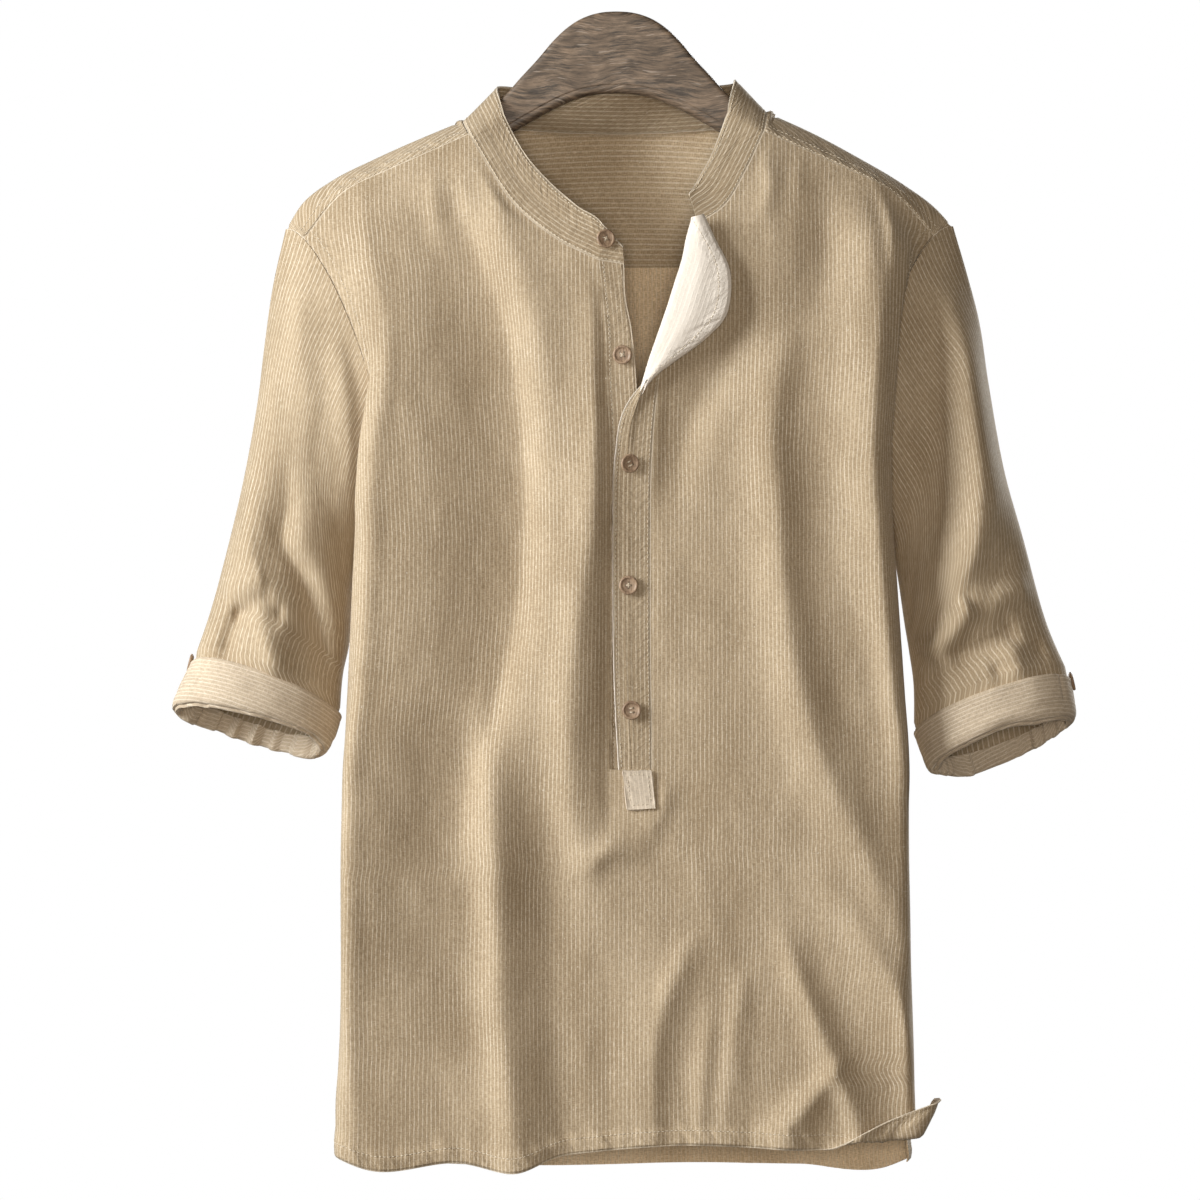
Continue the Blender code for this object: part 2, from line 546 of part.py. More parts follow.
def under_placket_grid(front_left, front_right):
    """Grid of the under placket, from the slot's left seam to its free edge."""
    free = np.array(UNDER_FREE, float)
    rows = []
    for point, other in zip(*slot_edges(front_left, front_right)):
        free_x = smooth(-free[:, 0], free[:, 1], -point[2])[0]
        width = free_x - point[0]
        covered = min(max((OPEN_END_Z - point[2]) / OPEN_BLEND, 0), 1)
        back_y = max(point[1], other[1] * covered + point[1] * (1 - covered)) - point[1]
        back_y += UNDER_STEP * (UNDER_OPEN_SHARE + (1 - UNDER_OPEN_SHARE) * covered)
        rows.append([point, *(point + (width * place, back_y, 0) for place in UNDER_PLACES)])
    rows = np.array(rows)
    rows[0, 1:, 2] -= np.array(UNDER_SAG)
    return rows


def over_placket_grid(front_left, front_right):
    """Grid of the over placket, from its stitched seam over its fold to its free edge."""
    table = np.array(OVER_ROWS, float)
    rows = []
    for other, point in zip(*slot_edges(front_left, front_right)):
        fold_x, fold_z, free_x, free_z, lift = smooth(-table[:, 0], table[:, 1:], -point[2])[0]
        level = min(point[1], other[1])
        fold = np.array((fold_x, level - 0.55 * lift, fold_z))
        free = np.array((free_x, level - 0.9 * lift, free_z))
        start = point + (fold - point) * 0.5 + (0, 0.2 * lift, 0)
        over = fold + (free - fold) * 0.3 + (0, -0.55 * lift, 0)
        rows.append(along([point, start, fold, over, free], np.linspace(0, 1, OVER_STEPS + 1)))
    return np.array(rows)


def box_grid(front_row_point):
    """Grid of the stitched box at the placket's foot, lying on the front."""
    top_left, top_right, low_right, low_left = (np.array(c, float) for c in BOX_CORNERS)
    rows = []
    for down in np.linspace(0, 1, BOX_POINTS):
        left = top_left + (low_left - top_left) * down
        right = top_right + (low_right - top_right) * down
        row = [left + (right - left) * across for across in np.linspace(0, 1, BOX_POINTS)]
        rows.append([(x, front_row_point(x, z) - BOX_LIFT, z) for x, z in row])
    return np.array(rows)


def ring(row, degrees, inwards=0.0):
    """Points round a sleeve or cuff, from a row of its table; inwards shrinks the ring."""
    outer_x, outer_z, inner_x, inner_z, mid_y, depth, rise = row[:7]
    front_in, back_in = row[7:9] if len(row) > 7 else (0, 0)
    middle = np.array(((outer_x + inner_x) / 2, mid_y, (outer_z + inner_z) / 2))
    axis = np.array(((outer_x - inner_x) / 2, 0, (outer_z - inner_z) / 2))
    axis *= 1 - inwards / np.linalg.norm(axis)
    shrink = 1 - inwards / depth
    points = []
    for angle in degrees:
        out = math.sin(math.radians(abs(angle))) * shrink
        to_front = 1 if angle > 0 else -1
        side = np.array((front_in if angle > 0 else back_in, -to_front * depth, to_front * rise))
        points.append(middle + math.cos(math.radians(angle)) * axis + out * side)
    return np.array(points)


def sleeve_grid(side, front, back, yoke):
    """Rings of a sleeve, the first one on the armhole's own points."""
    column = 0 if side == "left" else -1
    front_part = front[:FRONT_ARM_ROWS + 1, 0]
    back_part = back[1:BACK_ARM_ROWS, column][::-1]
    yoke_part = yoke[1:, column][::-1]
    armhole = np.concatenate((front_part, back_part, yoke_part))
    front_angles = np.linspace(FRONT_SEAM_ANGLE, 180, FRONT_ARM_ROWS + 1)
    back_angles = -np.linspace(BACK_SEAM_ANGLE, 180, BACK_ARM_ROWS + 1)[1:-1][::-1]
    yoke_angles = np.array((-BACK_SEAM_ANGLE, -BACK_SEAM_ANGLE * 2 / 3, -BACK_SEAM_ANGLE / 3, 0,
                            FRONT_SEAM_ANGLE / 2))
    angles = np.concatenate((front_angles, back_angles, yoke_angles))
    table = np.array(SLEEVE_ROWS[side], float)
    cuff_top, cuff_foot = (np.array(row, float) for row in CUFF_RINGS[side])
    table = np.vstack((table, cuff_top))
    table[-1, 5] -= CUFF_HOLD
    fade = np.clip(1 - np.arange(len(table)) / ARMHOLE_FADE_RINGS, 0, 1)[:, None] ** 1.5
    insets = fade * np.array(ARMHOLES[side][4:6])
    table = np.hstack((table, insets))
    knots = np.linspace(0, 1, len(table))
    rings = [armhole]
    for place in np.linspace(0, 1, SLEEVE_RINGS + 1)[1:-1]:
        row = smooth(knots, table, place)[0]
        points = ring(row, angles)
        middle = points.mean(axis=0)
        swell = np.zeros(len(angles))
        for start, start_turn, end, end_turn, half_width, height in SLEEVE_FOLDS:
            share = (place - start) / (end - start)
            taper = math.sin(math.pi * min(max(share, 0), 1)) ** 0.7
            turn = start_turn + (end_turn - start_turn) * share
            aside = (angles - turn + 180) % 360 - 180
            swell += height * taper * np.exp(-(np.radians(aside) * SLEEVE_RADIUS / half_width) ** 2)
        outwards = points - middle
        outwards /= np.linalg.norm(outwards, axis=1)[:, None]
        rings.append(points + outwards * swell[:, None])
    for down in CUFF_RINGS_INSIDE:
        rings.append(ring(cuff_top + (cuff_foot - cuff_top) * down, angles, CUFF_HOLD))
    return np.array(rings)


class Sheet:
    """Points and outward quads of one cloth piece, before its wall is grown."""

    def __init__(self, name, points, quads, wall, colour):
        self.name = name
        self.points = np.asarray(points, float)
        self.quads = quads
        self.wall = wall
        self.colour = colour

    def normals(self):
        """Outward unit normals of the sheet's points."""
        total = np.zeros_like(self.points)
        for quad in self.quads:
            a, b, c, d = (self.points[i] for i in quad)
            normal = np.cross(c - a, d - b)
            for i in quad:
                total[i] += normal
        return total / np.linalg.norm(total, axis=1)[:, None]

    def border(self):
        """Directed edges that only one quad has."""
        edges = {}
        for quad in self.quads:
            for start, end in zip(quad, quad[1:] + quad[:1]):
                edges[(start, end)] = quad
        return {edge: quad for edge, quad in edges.items() if edge[::-1] not in edges}


def grid_sheet(name, grid, wall, colour, closed=False, flip=False, hole=None):
    """Sheet of a grid whose rows run down and whose columns run to the right as seen."""
    rows, columns = grid.shape[:2]
    quads = []
    for i in range(rows - 1):
        for j in range(columns if closed else columns - 1):
            if hole and hole(i, j):
                continue
            right = (j + 1) % columns
            quad = (i * columns + j, (i + 1) * columns + j,
                    (i + 1) * columns + right, i * columns + right)
            quads.append(quad[::-1] if flip else quad)
    used = sorted({i for quad in quads for i in quad})
    place = {old: new for new, old in enumerate(used)}
    points = grid.reshape(-1, 3)[used]
    return Sheet(name, points, [tuple(place[i] for i in quad) for quad in quads], wall, colour)


def seam_mitres(sheets):
    """For each sheet, the way in from its points, shared with whatever is sewn to it there."""
    faced = [sheet.normals() for sheet in sheets]
    keys = [[tuple(np.round(point, 2)) for point in sheet.points] for sheet in sheets]
    meeting = {}
    for normals, places in zip(faced, keys):
        for normal, key in zip(normals, places):
            meeting.setdefault(key, []).append(normal)
    mitres = {}
    for key, normals in meeting.items():
        normals = np.array(normals)
        mitre = np.linalg.pinv(normals, rcond=MITRE_CUT) @ np.ones(len(normals))
        mitres[key] = mitre * min(1, MITRE_LIMIT / max(np.linalg.norm(mitre), 1e-6))
    return [np.array([mitres[key] for key in places]) for places in keys]


def edge_pull(sheet):
    """Shift of each border point into its sheet, half a seam gap wide."""
    pulls = {}
    for (start, end), quad in sheet.border().items():
        a, b = sheet.points[start], sheet.points[end]
        centre = sheet.points[list(quad)].mean(axis=0)
        run = (b - a) / np.linalg.norm(b - a)
        inwards = centre - a
        inwards = inwards - run * (inwards @ run)
        inwards /= np.linalg.norm(inwards)
        pulls.setdefault(start, []).append(inwards)
        pulls.setdefault(end, []).append(inwards)
    shift = np.zeros_like(sheet.points)
    for index, directions in pulls.items():
        total = np.sum(directions, axis=0)
        if len(directions) > 1:
            total /= max(1 + float(directions[0] @ directions[1]), 0.6)
        shift[index] = total * SEAM_GAP / 2
    return shift


def material(name):
    """Principled material of a colour in the table."""
    found = bpy.data.materials.get(name)
    if found:
        return found
    made = bpy.data.materials.new(name)
    made.use_nodes = True
    shader = made.node_tree.nodes["Principled BSDF"]
    shader.inputs["Base Color"].default_value = (*COLOURS[name], 1.0)
    shader.inputs["Roughness"].default_value = 0.45 if name == "button" else 0.9
    shader.inputs["Metallic"].default_value = 0.0
    return made


def add_object(name, points, faces, colour):
    """Closed mesh object from points in millimetres."""
    mesh = bpy.data.meshes.new(name)
    mesh.from_pydata([tuple(p * MM) for p in np.asarray(points, float)], [], faces)
    mesh.materials.append(material(colour))
    mesh.shade_smooth()
    mesh.set_sharp_from_angle(angle=math.radians(40))
    made = bpy.data.objects.new(name, mesh)
    bpy.context.scene.collection.objects.link(made)
    return made


def grow_wall(sheet, mitres):
    """Closed wall of a sheet: its outer face, the inner face behind it, and its edges."""
    shift = edge_pull(sheet)
    outer = sheet.points + shift
    inner = sheet.points - mitres * sheet.wall + shift
    count = len(outer)
    faces = list(sheet.quads)
    faces += [tuple(i + count for i in reversed(quad)) for quad in sheet.quads]
    for start, end in sheet.border():
        # Both pieces at a seam split their twisted edge faces along the same diagonal.
        if tuple(sheet.points[start]) < tuple(sheet.points[end]):
            faces += [(end, start, end + count), (start, start + count, end + count)]
        else:
            faces += [(end, start, start + count), (end, start + count, end + count)]
    add_object(sheet.name, np.concatenate((outer, inner)), faces, sheet.colour)


def make_cloth():
    """All the walls of the garment; returns the grids that buttons are seated on."""
    left, right = front_half("left"), front_half("right")
    back = back_grid(left, right)
    yoke = yoke_grid(left, right, back)
    under = under_placket_grid(left, right)
    over = over_placket_grid(left, right)
    band = band_grid(left, right, yoke, under)

    parts = np.arange(1, SLOT_SEGMENTS) / SLOT_SEGMENTS
    middle = np.array([[a[-1] + (b[-1] - a[-1]) * part for part in parts]
                       for a, b in zip(left, right)])
    front = np.concatenate((left, middle, right[:, ::-1]), axis=1)

    def in_slot(i, j):
        return i < SLOT_BOTTOM_ROW and 0 <= j - SHOULDER_SEGMENTS < SLOT_SEGMENTS

    def front_depth(x, z):
        flat = front.reshape(-1, 3)
        away = (flat[:, 0] - x) ** 2 + (flat[:, 2] - z) ** 2
        near = np.argsort(away)[:NEAREST_POINTS]
        weight = 1 / (away[near] + 1)
        return float((flat[near, 1] * weight).sum() / weight.sum())

    sheets = [
        grid_sheet("front", front, CLOTH, "front", hole=in_slot),
        grid_sheet("back", back, CLOTH, "back", flip=True),
        grid_sheet("yoke", yoke, CLOTH, "yoke", flip=True),
        grid_sheet("collar_band", band, DOUBLE, "band"),
        grid_sheet("under_placket", under, DOUBLE, "placket"),
        grid_sheet("over_placket", over, DOUBLE, "placket", flip=True),
        grid_sheet("sleeve_left", sleeve_grid("left", left, back, yoke), CLOTH, "sleeve",
                   closed=True),
        grid_sheet("sleeve_right", sleeve_grid("right", right, back, yoke), CLOTH, "sleeve",
                   closed=True, flip=True),
        grid_sheet("placket_box", box_grid(front_depth), DOUBLE, "placket"),
    ]
    for sheet, mitres in zip(sheets, seam_mitres(sheets)):
        grow_wall(sheet, mitres)
    return {"collar_band": band, "under_placket": under, "over_placket": over}


def make_cuff(side):
    """Rolled cuff: a hooked section carried round the end of the sleeve."""
    top, foot = (np.array(row, float) for row in CUFF_RINGS[side])
    angles = np.linspace(180, -180, CUFF_SEGMENTS, endpoint=False)
    rings = []
    for inwards, down in CUFF_SECTION:
        rings.append(ring(top + (foot - top) * down, angles, inwards))
    points = np.concatenate(rings)
    faces = []
    count = len(CUFF_SECTION)
    for i in range(count):
        for j in range(CUFF_SEGMENTS):
            right, below = (j + 1) % CUFF_SEGMENTS, (i + 1) % count
            face = (i * CUFF_SEGMENTS + j, below * CUFF_SEGMENTS + j,
                    below * CUFF_SEGMENTS + right, i * CUFF_SEGMENTS + right)
            faces.append(face[::-1] if side == "left" else face)
    add_object("cuff_" + side, points, faces, "cuff")


def make_hanger():
    """Flat wooden board with its edges rounded."""
    half = list(HANGER_TOP) + list(HANGER_UNDERSIDE)
    outline = half + [(-x, z) for x, z in half[-2:0:-1]]
    shape = bmesh.new()
    near = [shape.verts.new((x * MM, -HANGER_THICKNESS / 2 * MM, z * MM)) for x, z in outline]
    face = shape.faces.new(near)
    face.normal_update()
    if face.normal.y > 0:
        face.normal_flip()
    grown = bmesh.ops.extrude_face_region(shape, geom=[face], use_keep_orig=True)
    moved = [v for v in grown["geom"] if isinstance(v, bmesh.types.BMVert)]
    bmesh.ops.translate(shape, verts=moved, vec=(0, HANGER_THICKNESS * MM, 0))
    bmesh.ops.recalc_face_normals(shape, faces=shape.faces[:])
    rims = [e for e in shape.edges
            if abs(e.verts[0].co.y - e.verts[1].co.y) < 1e-6 and e.calc_face_angle(0) > 1.2]
    bmesh.ops.bevel(shape, geom=rims, offset=HANGER_ROUNDING * MM, segments=3, profile=0.5,
                    affect="EDGES", clamp_overlap=True)
    mesh = bpy.data.meshes.new("hanger")
    shape.to_mesh(mesh)
    shape.free()
    mesh.materials.append(material("wood"))
    mesh.shade_smooth()
    mesh.set_sharp_from_angle(angle=math.radians(40))
    made = bpy.data.objects.new("hanger", mesh)
    bpy.context.scene.collection.objects.link(made)


def make_button(name, seat, outwards, across):
    """Turned button with a raised rim, its back on the seat."""
    radius = BUTTON_DIAMETER / 2
    dish = BUTTON_THICKNESS - BUTTON_DISH
    profile = ((0, 0), (radius - BUTTON_RIM, 0), (radius, BUTTON_EDGE),
               (radius - 0.2, BUTTON_THICKNESS - 0.4), (radius - BUTTON_RIM, BUTTON_THICKNESS),
               (radius - 2 * BUTTON_RIM, dish), (0, dish))
    outwards = outwards / np.linalg.norm(outwards)
    across = across - outwards * (across @ outwards)
    across /= np.linalg.norm(across)
    upright = np.cross(outwards, across)
    segments = BUTTON_SEGMENTS
    points = [seat]
    for r, h in profile[1:-1]:
        for step in range(segments):
            turn = 2 * math.pi * step / segments
            spoke = across * math.cos(turn) + upright * math.sin(turn)
            points.append(seat + spoke * r + outwards * h)
    points.append(seat + outwards * profile[-1][1])
    last = len(points) - 1
    faces = []
    for step in range(segments):
        after = (step + 1) % segments
        faces.append((0, 1 + after, 1 + step))
        for level in range(len(profile) - 3):
            low, high = 1 + level * segments, 1 + (level + 1) * segments
            faces.append((low + step, low + after, high + after, high + step))
        high = 1 + (len(profile) - 3) * segments
        faces.append((high + step, high + after, last))
    add_object(name, points, faces, "button")


def seat_on(grid, x, z):
    """Nearest point of a piece's grid to x, z, on its front side, and how it faces."""
    rows, columns = grid.shape[:2]
    best = None
    for i in range(rows - 1):
        for j in range(columns - 1):
            corners = grid[i:i + 2, j:j + 2].reshape(-1, 3)
            middle = corners.mean(axis=0)
            away = math.hypot(middle[0] - x, middle[2] - z)
            if best is None or away < best[0]:
                normal = np.cross(corners[1] - corners[0], corners[2] - corners[0])
                best = (away, middle, normal / np.linalg.norm(normal))
    _, middle, normal = best
    if normal[1] > 0:
        normal = -normal
    y = middle[1] - ((x - middle[0]) * normal[0] + (z - middle[2]) * normal[2]) / normal[1]
    return np.array((x, y, z)), normal


def make_buttons(pieces):
    """Buttons of the front, seated on the band and plackets, and one on each cuff's outside."""
    for name, x, z, piece, lift in FRONT_BUTTONS:
        seat, normal = seat_on(pieces[piece], x, z)
        make_button(name, seat + normal * lift, normal, np.array((1.0, 0, 0)))
    for name, side, turn, lift in CUFF_BUTTONS:
        top = np.array(CUFF_RINGS[side][0], float)
        seat = ring(top, (turn,), -lift)[0]
        seat[2] += CUFF_BUTTON_RISE
        outwards = np.array((-1.0 if side == "left" else 1.0, 0, CUFF_BUTTON_TILT))
        make_button(name, seat, outwards, np.array((0, 1.0, 0)))


def main():
    """Empty the scene and build the part."""
    for old in list(bpy.data.objects):
        bpy.data.objects.remove(old, do_unlink=True)
    pieces = make_cloth()
    for side in ("left", "right"):
        make_cuff(side)
    make_hanger()
    make_buttons(pieces)


main()
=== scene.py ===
"""Henley shirt on a flat wooden hanger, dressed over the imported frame.

Tables and shapes are in millimetres, in the frame's axes: X to the viewer's right, Y away
from the viewer, Z up, and the origin on top of the hanger. Meshes are made in metres. Left
and right are the viewer's. Every cloth piece is a dense sheet on the form of its solid.
"""
import math

import bmesh
import bpy
import numpy as np
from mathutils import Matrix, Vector


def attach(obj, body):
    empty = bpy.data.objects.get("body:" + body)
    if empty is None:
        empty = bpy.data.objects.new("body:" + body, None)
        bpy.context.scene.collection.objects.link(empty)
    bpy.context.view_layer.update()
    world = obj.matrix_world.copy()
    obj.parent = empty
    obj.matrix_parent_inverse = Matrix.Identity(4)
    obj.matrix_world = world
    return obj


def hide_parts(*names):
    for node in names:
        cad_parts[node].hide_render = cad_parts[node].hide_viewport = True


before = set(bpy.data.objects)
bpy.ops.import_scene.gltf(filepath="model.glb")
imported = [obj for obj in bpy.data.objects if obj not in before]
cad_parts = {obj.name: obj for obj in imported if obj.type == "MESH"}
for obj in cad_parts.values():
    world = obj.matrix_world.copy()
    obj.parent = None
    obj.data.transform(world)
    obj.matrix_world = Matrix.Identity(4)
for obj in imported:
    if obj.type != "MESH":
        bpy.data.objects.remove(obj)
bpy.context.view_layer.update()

MM = 0.001
CLOTH = 0.9               # wall of a single panel
DOUBLE = 1.3              # wall of a band, placket or patch
CLOTH_SHARP = 55          # degrees above which a mesh's edges stay sharp
WOOD_SHARP = 40
BUTTON_SHARP = 50
SIDES = ("left", "right")

# ---------------------------------------------------------------- form, as in the solids
ARMHOLES = {              # centre x, z, half axis to the shoulder, front and back curve
    "left": (-193.5, -251, -30.5, 103, 27, 12),
    "right": (200.5, -249, 27.5, 103, -29, -12),
}
ARMHOLE_DEPTH = 30
ARMHOLE_SCOOP = 3
FRONT_SEAM_ANGLE = 22
BACK_SEAM_ANGLE = 46
FRONT_ARM_ROWS = 9
BACK_ARM_ROWS = 8
ARM_ROWS = {              # edge x, y, z, centre x, z, and the panel's y
    "left": (
        (-182, -19, -122, -100, -85, -22), (-177, -29, -163, -72, -130, -33),
        (-172, -36, -188, -42, -156, -40), (-166, -40, -213, -13, -171, -44),
        (-165, -40, -240, -9, -216, -46), (-169, -38, -267, -8, -250, -46),
        (-173, -37, -292, -6, -284, -46), (-175, -36, -316, -5.5, -305, -46),
        (-176, -35, -333, -5, -328, -46), (-176, -34, -353, -5, -353, -46),
    ),
    "right": (
        (184, -19, -122, 100, -83, -22), (197, -27, -160, 88, -109, -33),
        (195, -33, -188, 74, -133, -39), (191, -38, -214, 55, -147, -43),
        (189, -38, -243, 43, -188, -46), (187, -37, -270, 35, -215, -46),
        (185, -36, -294, 30, -243, -46), (185, -36, -314, 26, -275, -46),
        (185, -35, -333, 23.5, -315, -46), (186, -34, -353, 23, -353, -46),
    ),
}
BODY_ROWS = (             # z, left seam, left edge, right seam, right edge, seam y, edge y, slot
    (-392, -163, -178, 173, 189, 2, -33, -5, 23),
    (-430, -166, -180, 178, 192, 1, -31, -5, 23),
    (-468, -171, -182, 185, 195, 0, -28, -5, 23.5),
    (-491, -174, -183, 190, 197, -1, -25, -5, 24),
    (-514, -178, -184, 193, 197.5, -2, -23, -5, 24),
    (-541, -180, -184.5, 193.5, 197, -3, -22, -5, 25),
    (-575, -181, -185, 194, 197, -4, -21, -5, 25),
    (-610, -182, -185, 194, 197.5, -4, -20, -5, 25),
    (-645, -182, -185, 195, 198, -5, -20, -5, 25),
    (-680, -182, -185.5, 196, 199, -6, -20, -5, 25),
    (-713, -183, -187, 197, 200, -8, -21, -5, 25),
    (-738, -185, -189, 198.5, 201, -11, -23, -5, 25),
    (-760, -184, -189, 200, 202, -12, -24, -5, 25),
)
SLOT_BOTTOM_ROW = FRONT_ARM_ROWS + 5
NECK_CORNER_ROW = 3
VENT_ROW = FRONT_ARM_ROWS + 11
PANEL_Y = -46
ROLL_RUN = 11
ROLL_WIDTH = 9
LOW_ROLL_WIDTH = 4
BACK_Y = 40
BACK_SEAM_Z = -172        # of the yoke's back seam
UNDERARM_Z = -353
FRONT_HEM = (             # x, top z, length, degrees turned up, lean to the right
    (-190, -763, 12, 0, 0), (-168, -771, 12, 0, 0), (-106, -767, 12, 0, 0),
    (-66, -773, 12, 0, 0), (-40, -763, 12, 0, 0), (-11, -759, 12, 0, 0),
    (43, -755, 12, 0, 0), (104, -757, 12, 0, 0), (125, -760, 10, 0, 0),
    (140, -763, 7, 40, 0), (152, -762, 9, 130, 1), (168, -761, 16, 175, 4),
    (186, -759.5, 24, 178, 9), (202, -758, 31, 178, 16),
)
HEM_CURL = 9.0
BACK_VENT = ((-738, 1), (-762, 3), (-775, 4))
BACK_HEM = ((-190, -780), (-147, -785), (-59, -788), (57, -786), (125, -787), (186, -788),
            (205, -779))
RIDGE = {
    "left": ((-112, -77.5), (-135, -87), (-166, -101), (-192, -114), (-212, -129)),
    "right": ((110, -72), (128, -80), (164, -99), (196, -118), (215, -132)),
}
NECK_RIDGE = {"left": (-104, 0, -74), "right": (102, 0, -68)}
BACK_NECK = ((-97, 20, -74), (-75, 33, -77), (-40, 39, -79), (0, 41, -80),
             (40, 39, -79), (75, 33, -76), (97, 20, -72))
YOKE_PLACES = (0, 0.1, 0.2, 0.42, 0.7, 1)
YOKE_BACK_Y = 21          # of the yoke behind the shoulder's ridge, and its drop there
YOKE_DROP = 13
YOKE_ROLL = 0.48
YOKE_SPREAD = 1.035
BACK_MIDDLE = 2 * 97 / 415  # share of the back's width below the neck
CAD_SHOULDER = 14         # columns of a shoulder and of the neck in the solids
CROWDING = 1.25
BAND_ROWS = (             # distance along the neck seam, and the rise of the top edge there
    (0, -1, 1, 12), (7, -1, 3, 19), (19, 4, 4, 24), (52, 14, 5, 23), (84, 19, 6, 21),
    (114, 19, 6, 19), (150, 24, 5, 14), (163, 23.5, 1.5, 19), (176, 22, 2, 22), (198, 17, -7, 25),
    (224, 13, -9, 27), (260, 4, -9, 28), (300, 0, -9, 29), (340, -4, -9, 28),
    (376, -13, -9, 27), (402, -18, -7, 24), (426, -22, 2, 21), (439, -24, 1.5, 18),
    (452, -25, 5, 13), (486, -22, 7, 14), (508, -20, 6, 16), (533, -6, 5, 21),
)
UNDER_FREE = ((-171, 5), (-196, 6), (-218, 10), (-250, 13), (-291, 14), (-400, 16), (-514, 14))
UNDER_STEP = 2.2
OPEN_END_Z = -270
OVER_ROWS = (             # seam z, fold x, z, free edge x, z, and how far it stands off
    (-147, 51.5, -143, 58, -141, 4.0), (-158, 48.0, -156, 66, -159, 6.5),
    (-172, 45.0, -171, 74, -175, 8.0), (-188, 40.0, -187, 76, -192, 9.0),
    (-203, 35.0, -203, 73, -208, 9.0), (-222, 28.5, -222, 62, -221, 8.0),
    (-243, 22.0, -241, 44, -235, 6.0), (-262, 17.0, -259, 23, -249, 4.5),
    (-284, 13.0, -280, 5, -272, 2.6), (-310, 11.0, -308, -1, -305, 0.8),
    (-353, 10.5, -353, -2.5, -353, 0.5), (-400, 10.5, -400, -2.5, -400, 0.5),
    (-468, 10.5, -468, -1, -468, 0.5), (-514, 12.0, -514, 1.5, -514, 0.5),
)
BOX_CORNERS = ((4, -514.8), (23.5, -514.6), (26, -540), (7, -541))
BOX_LIFT = 2.4
SLEEVE_ROWS = {           # outer x, z, inner x, z, middle y, half depth, rise of the front
    "left": (
        (-224, -148, -163, -354, 0, 30, 0), (-233, -186, -175, -358, 7, 31, 1),
        (-239, -226, -177, -374, 11, 34, 2), (-244, -267, -179, -392, 11, 35, 3),
        (-253, -318, -181, -411, 8, 36, 5), (-264, -366, -183, -431, 5, 36, 7),
        (-275, -408, -187, -451, 0, 34, 9),
    ),
    "right": (
        (228, -146, 173, -352, 0, 30, 0), (239, -182, 188, -356, 7, 31, 1),
        (247, -213, 191, -374, 11, 34, 2), (253, -254, 194, -393, 11, 35, 3),
        (263, -311, 197, -415, 8, 36, 5), (276, -359, 200, -434, 5, 36, 7),
        (291, -415, 203, -458, 1, 34, 9),
    ),
}
CUFF_HOLD = 2.1
CUFF_RINGS = {            # top and foot of the rolled cuff, as the rows above
    "left": ((-287, -444, -189, -479, -5, 32, 12), (-300, -471, -196, -500, -8, 32, 13)),
    "right": ((308, -456, 203, -490, -4, 33, 13), (311, -480, 213, -515, -6, 33, 14)),
}
CUFF_GATHER = 9.0         # degrees to a gather of the cuff's inner layer
CUFF_SEAM = {"left": 42, "right": 35}
CUFF_SEED = {"left": 101, "right": 111}
CUFF_HEIGHT = 34          # for the steps along the section alone
CUFF_DROP = 0.10          # of the uneven foot, and of the gathers behind, as shares
CUFF_SWELL = 1.2          # uneven outer face, and the notch of its seam
CUFF_CREASES = 0.6
CUFF_FRONT_GATHERS = 1.8
CUFF_BACK_GATHERS = 4.4   # added to those of the front
CUFF_TUCK = (0.02, 0.15, 0.3, 0.45, 0.6, 0.75, 0.85)    # the sleeve's last rings in the cuff
SLEEVE_RADIUS = 42        # turns an angle into a distance round the sleeve
FRONT_SHARE = 0.25        # of SLEEVE_FOLDS that shows in front
CUFF_SECTION = (          # inwards from the outer face, and down from the top
    (1.4, 0.0), (0.2, -0.02), (-0.5, 0.15), (-0.9, 0.45), (-0.8, 0.75), (-0.3, 0.95), (1.0, 1.04),
    (2.2, 0.99), (2.6, 0.92), (2.9, 1.0), (3.5, 1.09), (4.4, 1.08), (5.0, 0.98), (5.1, 0.8),
    (5.0, 0.60),
)

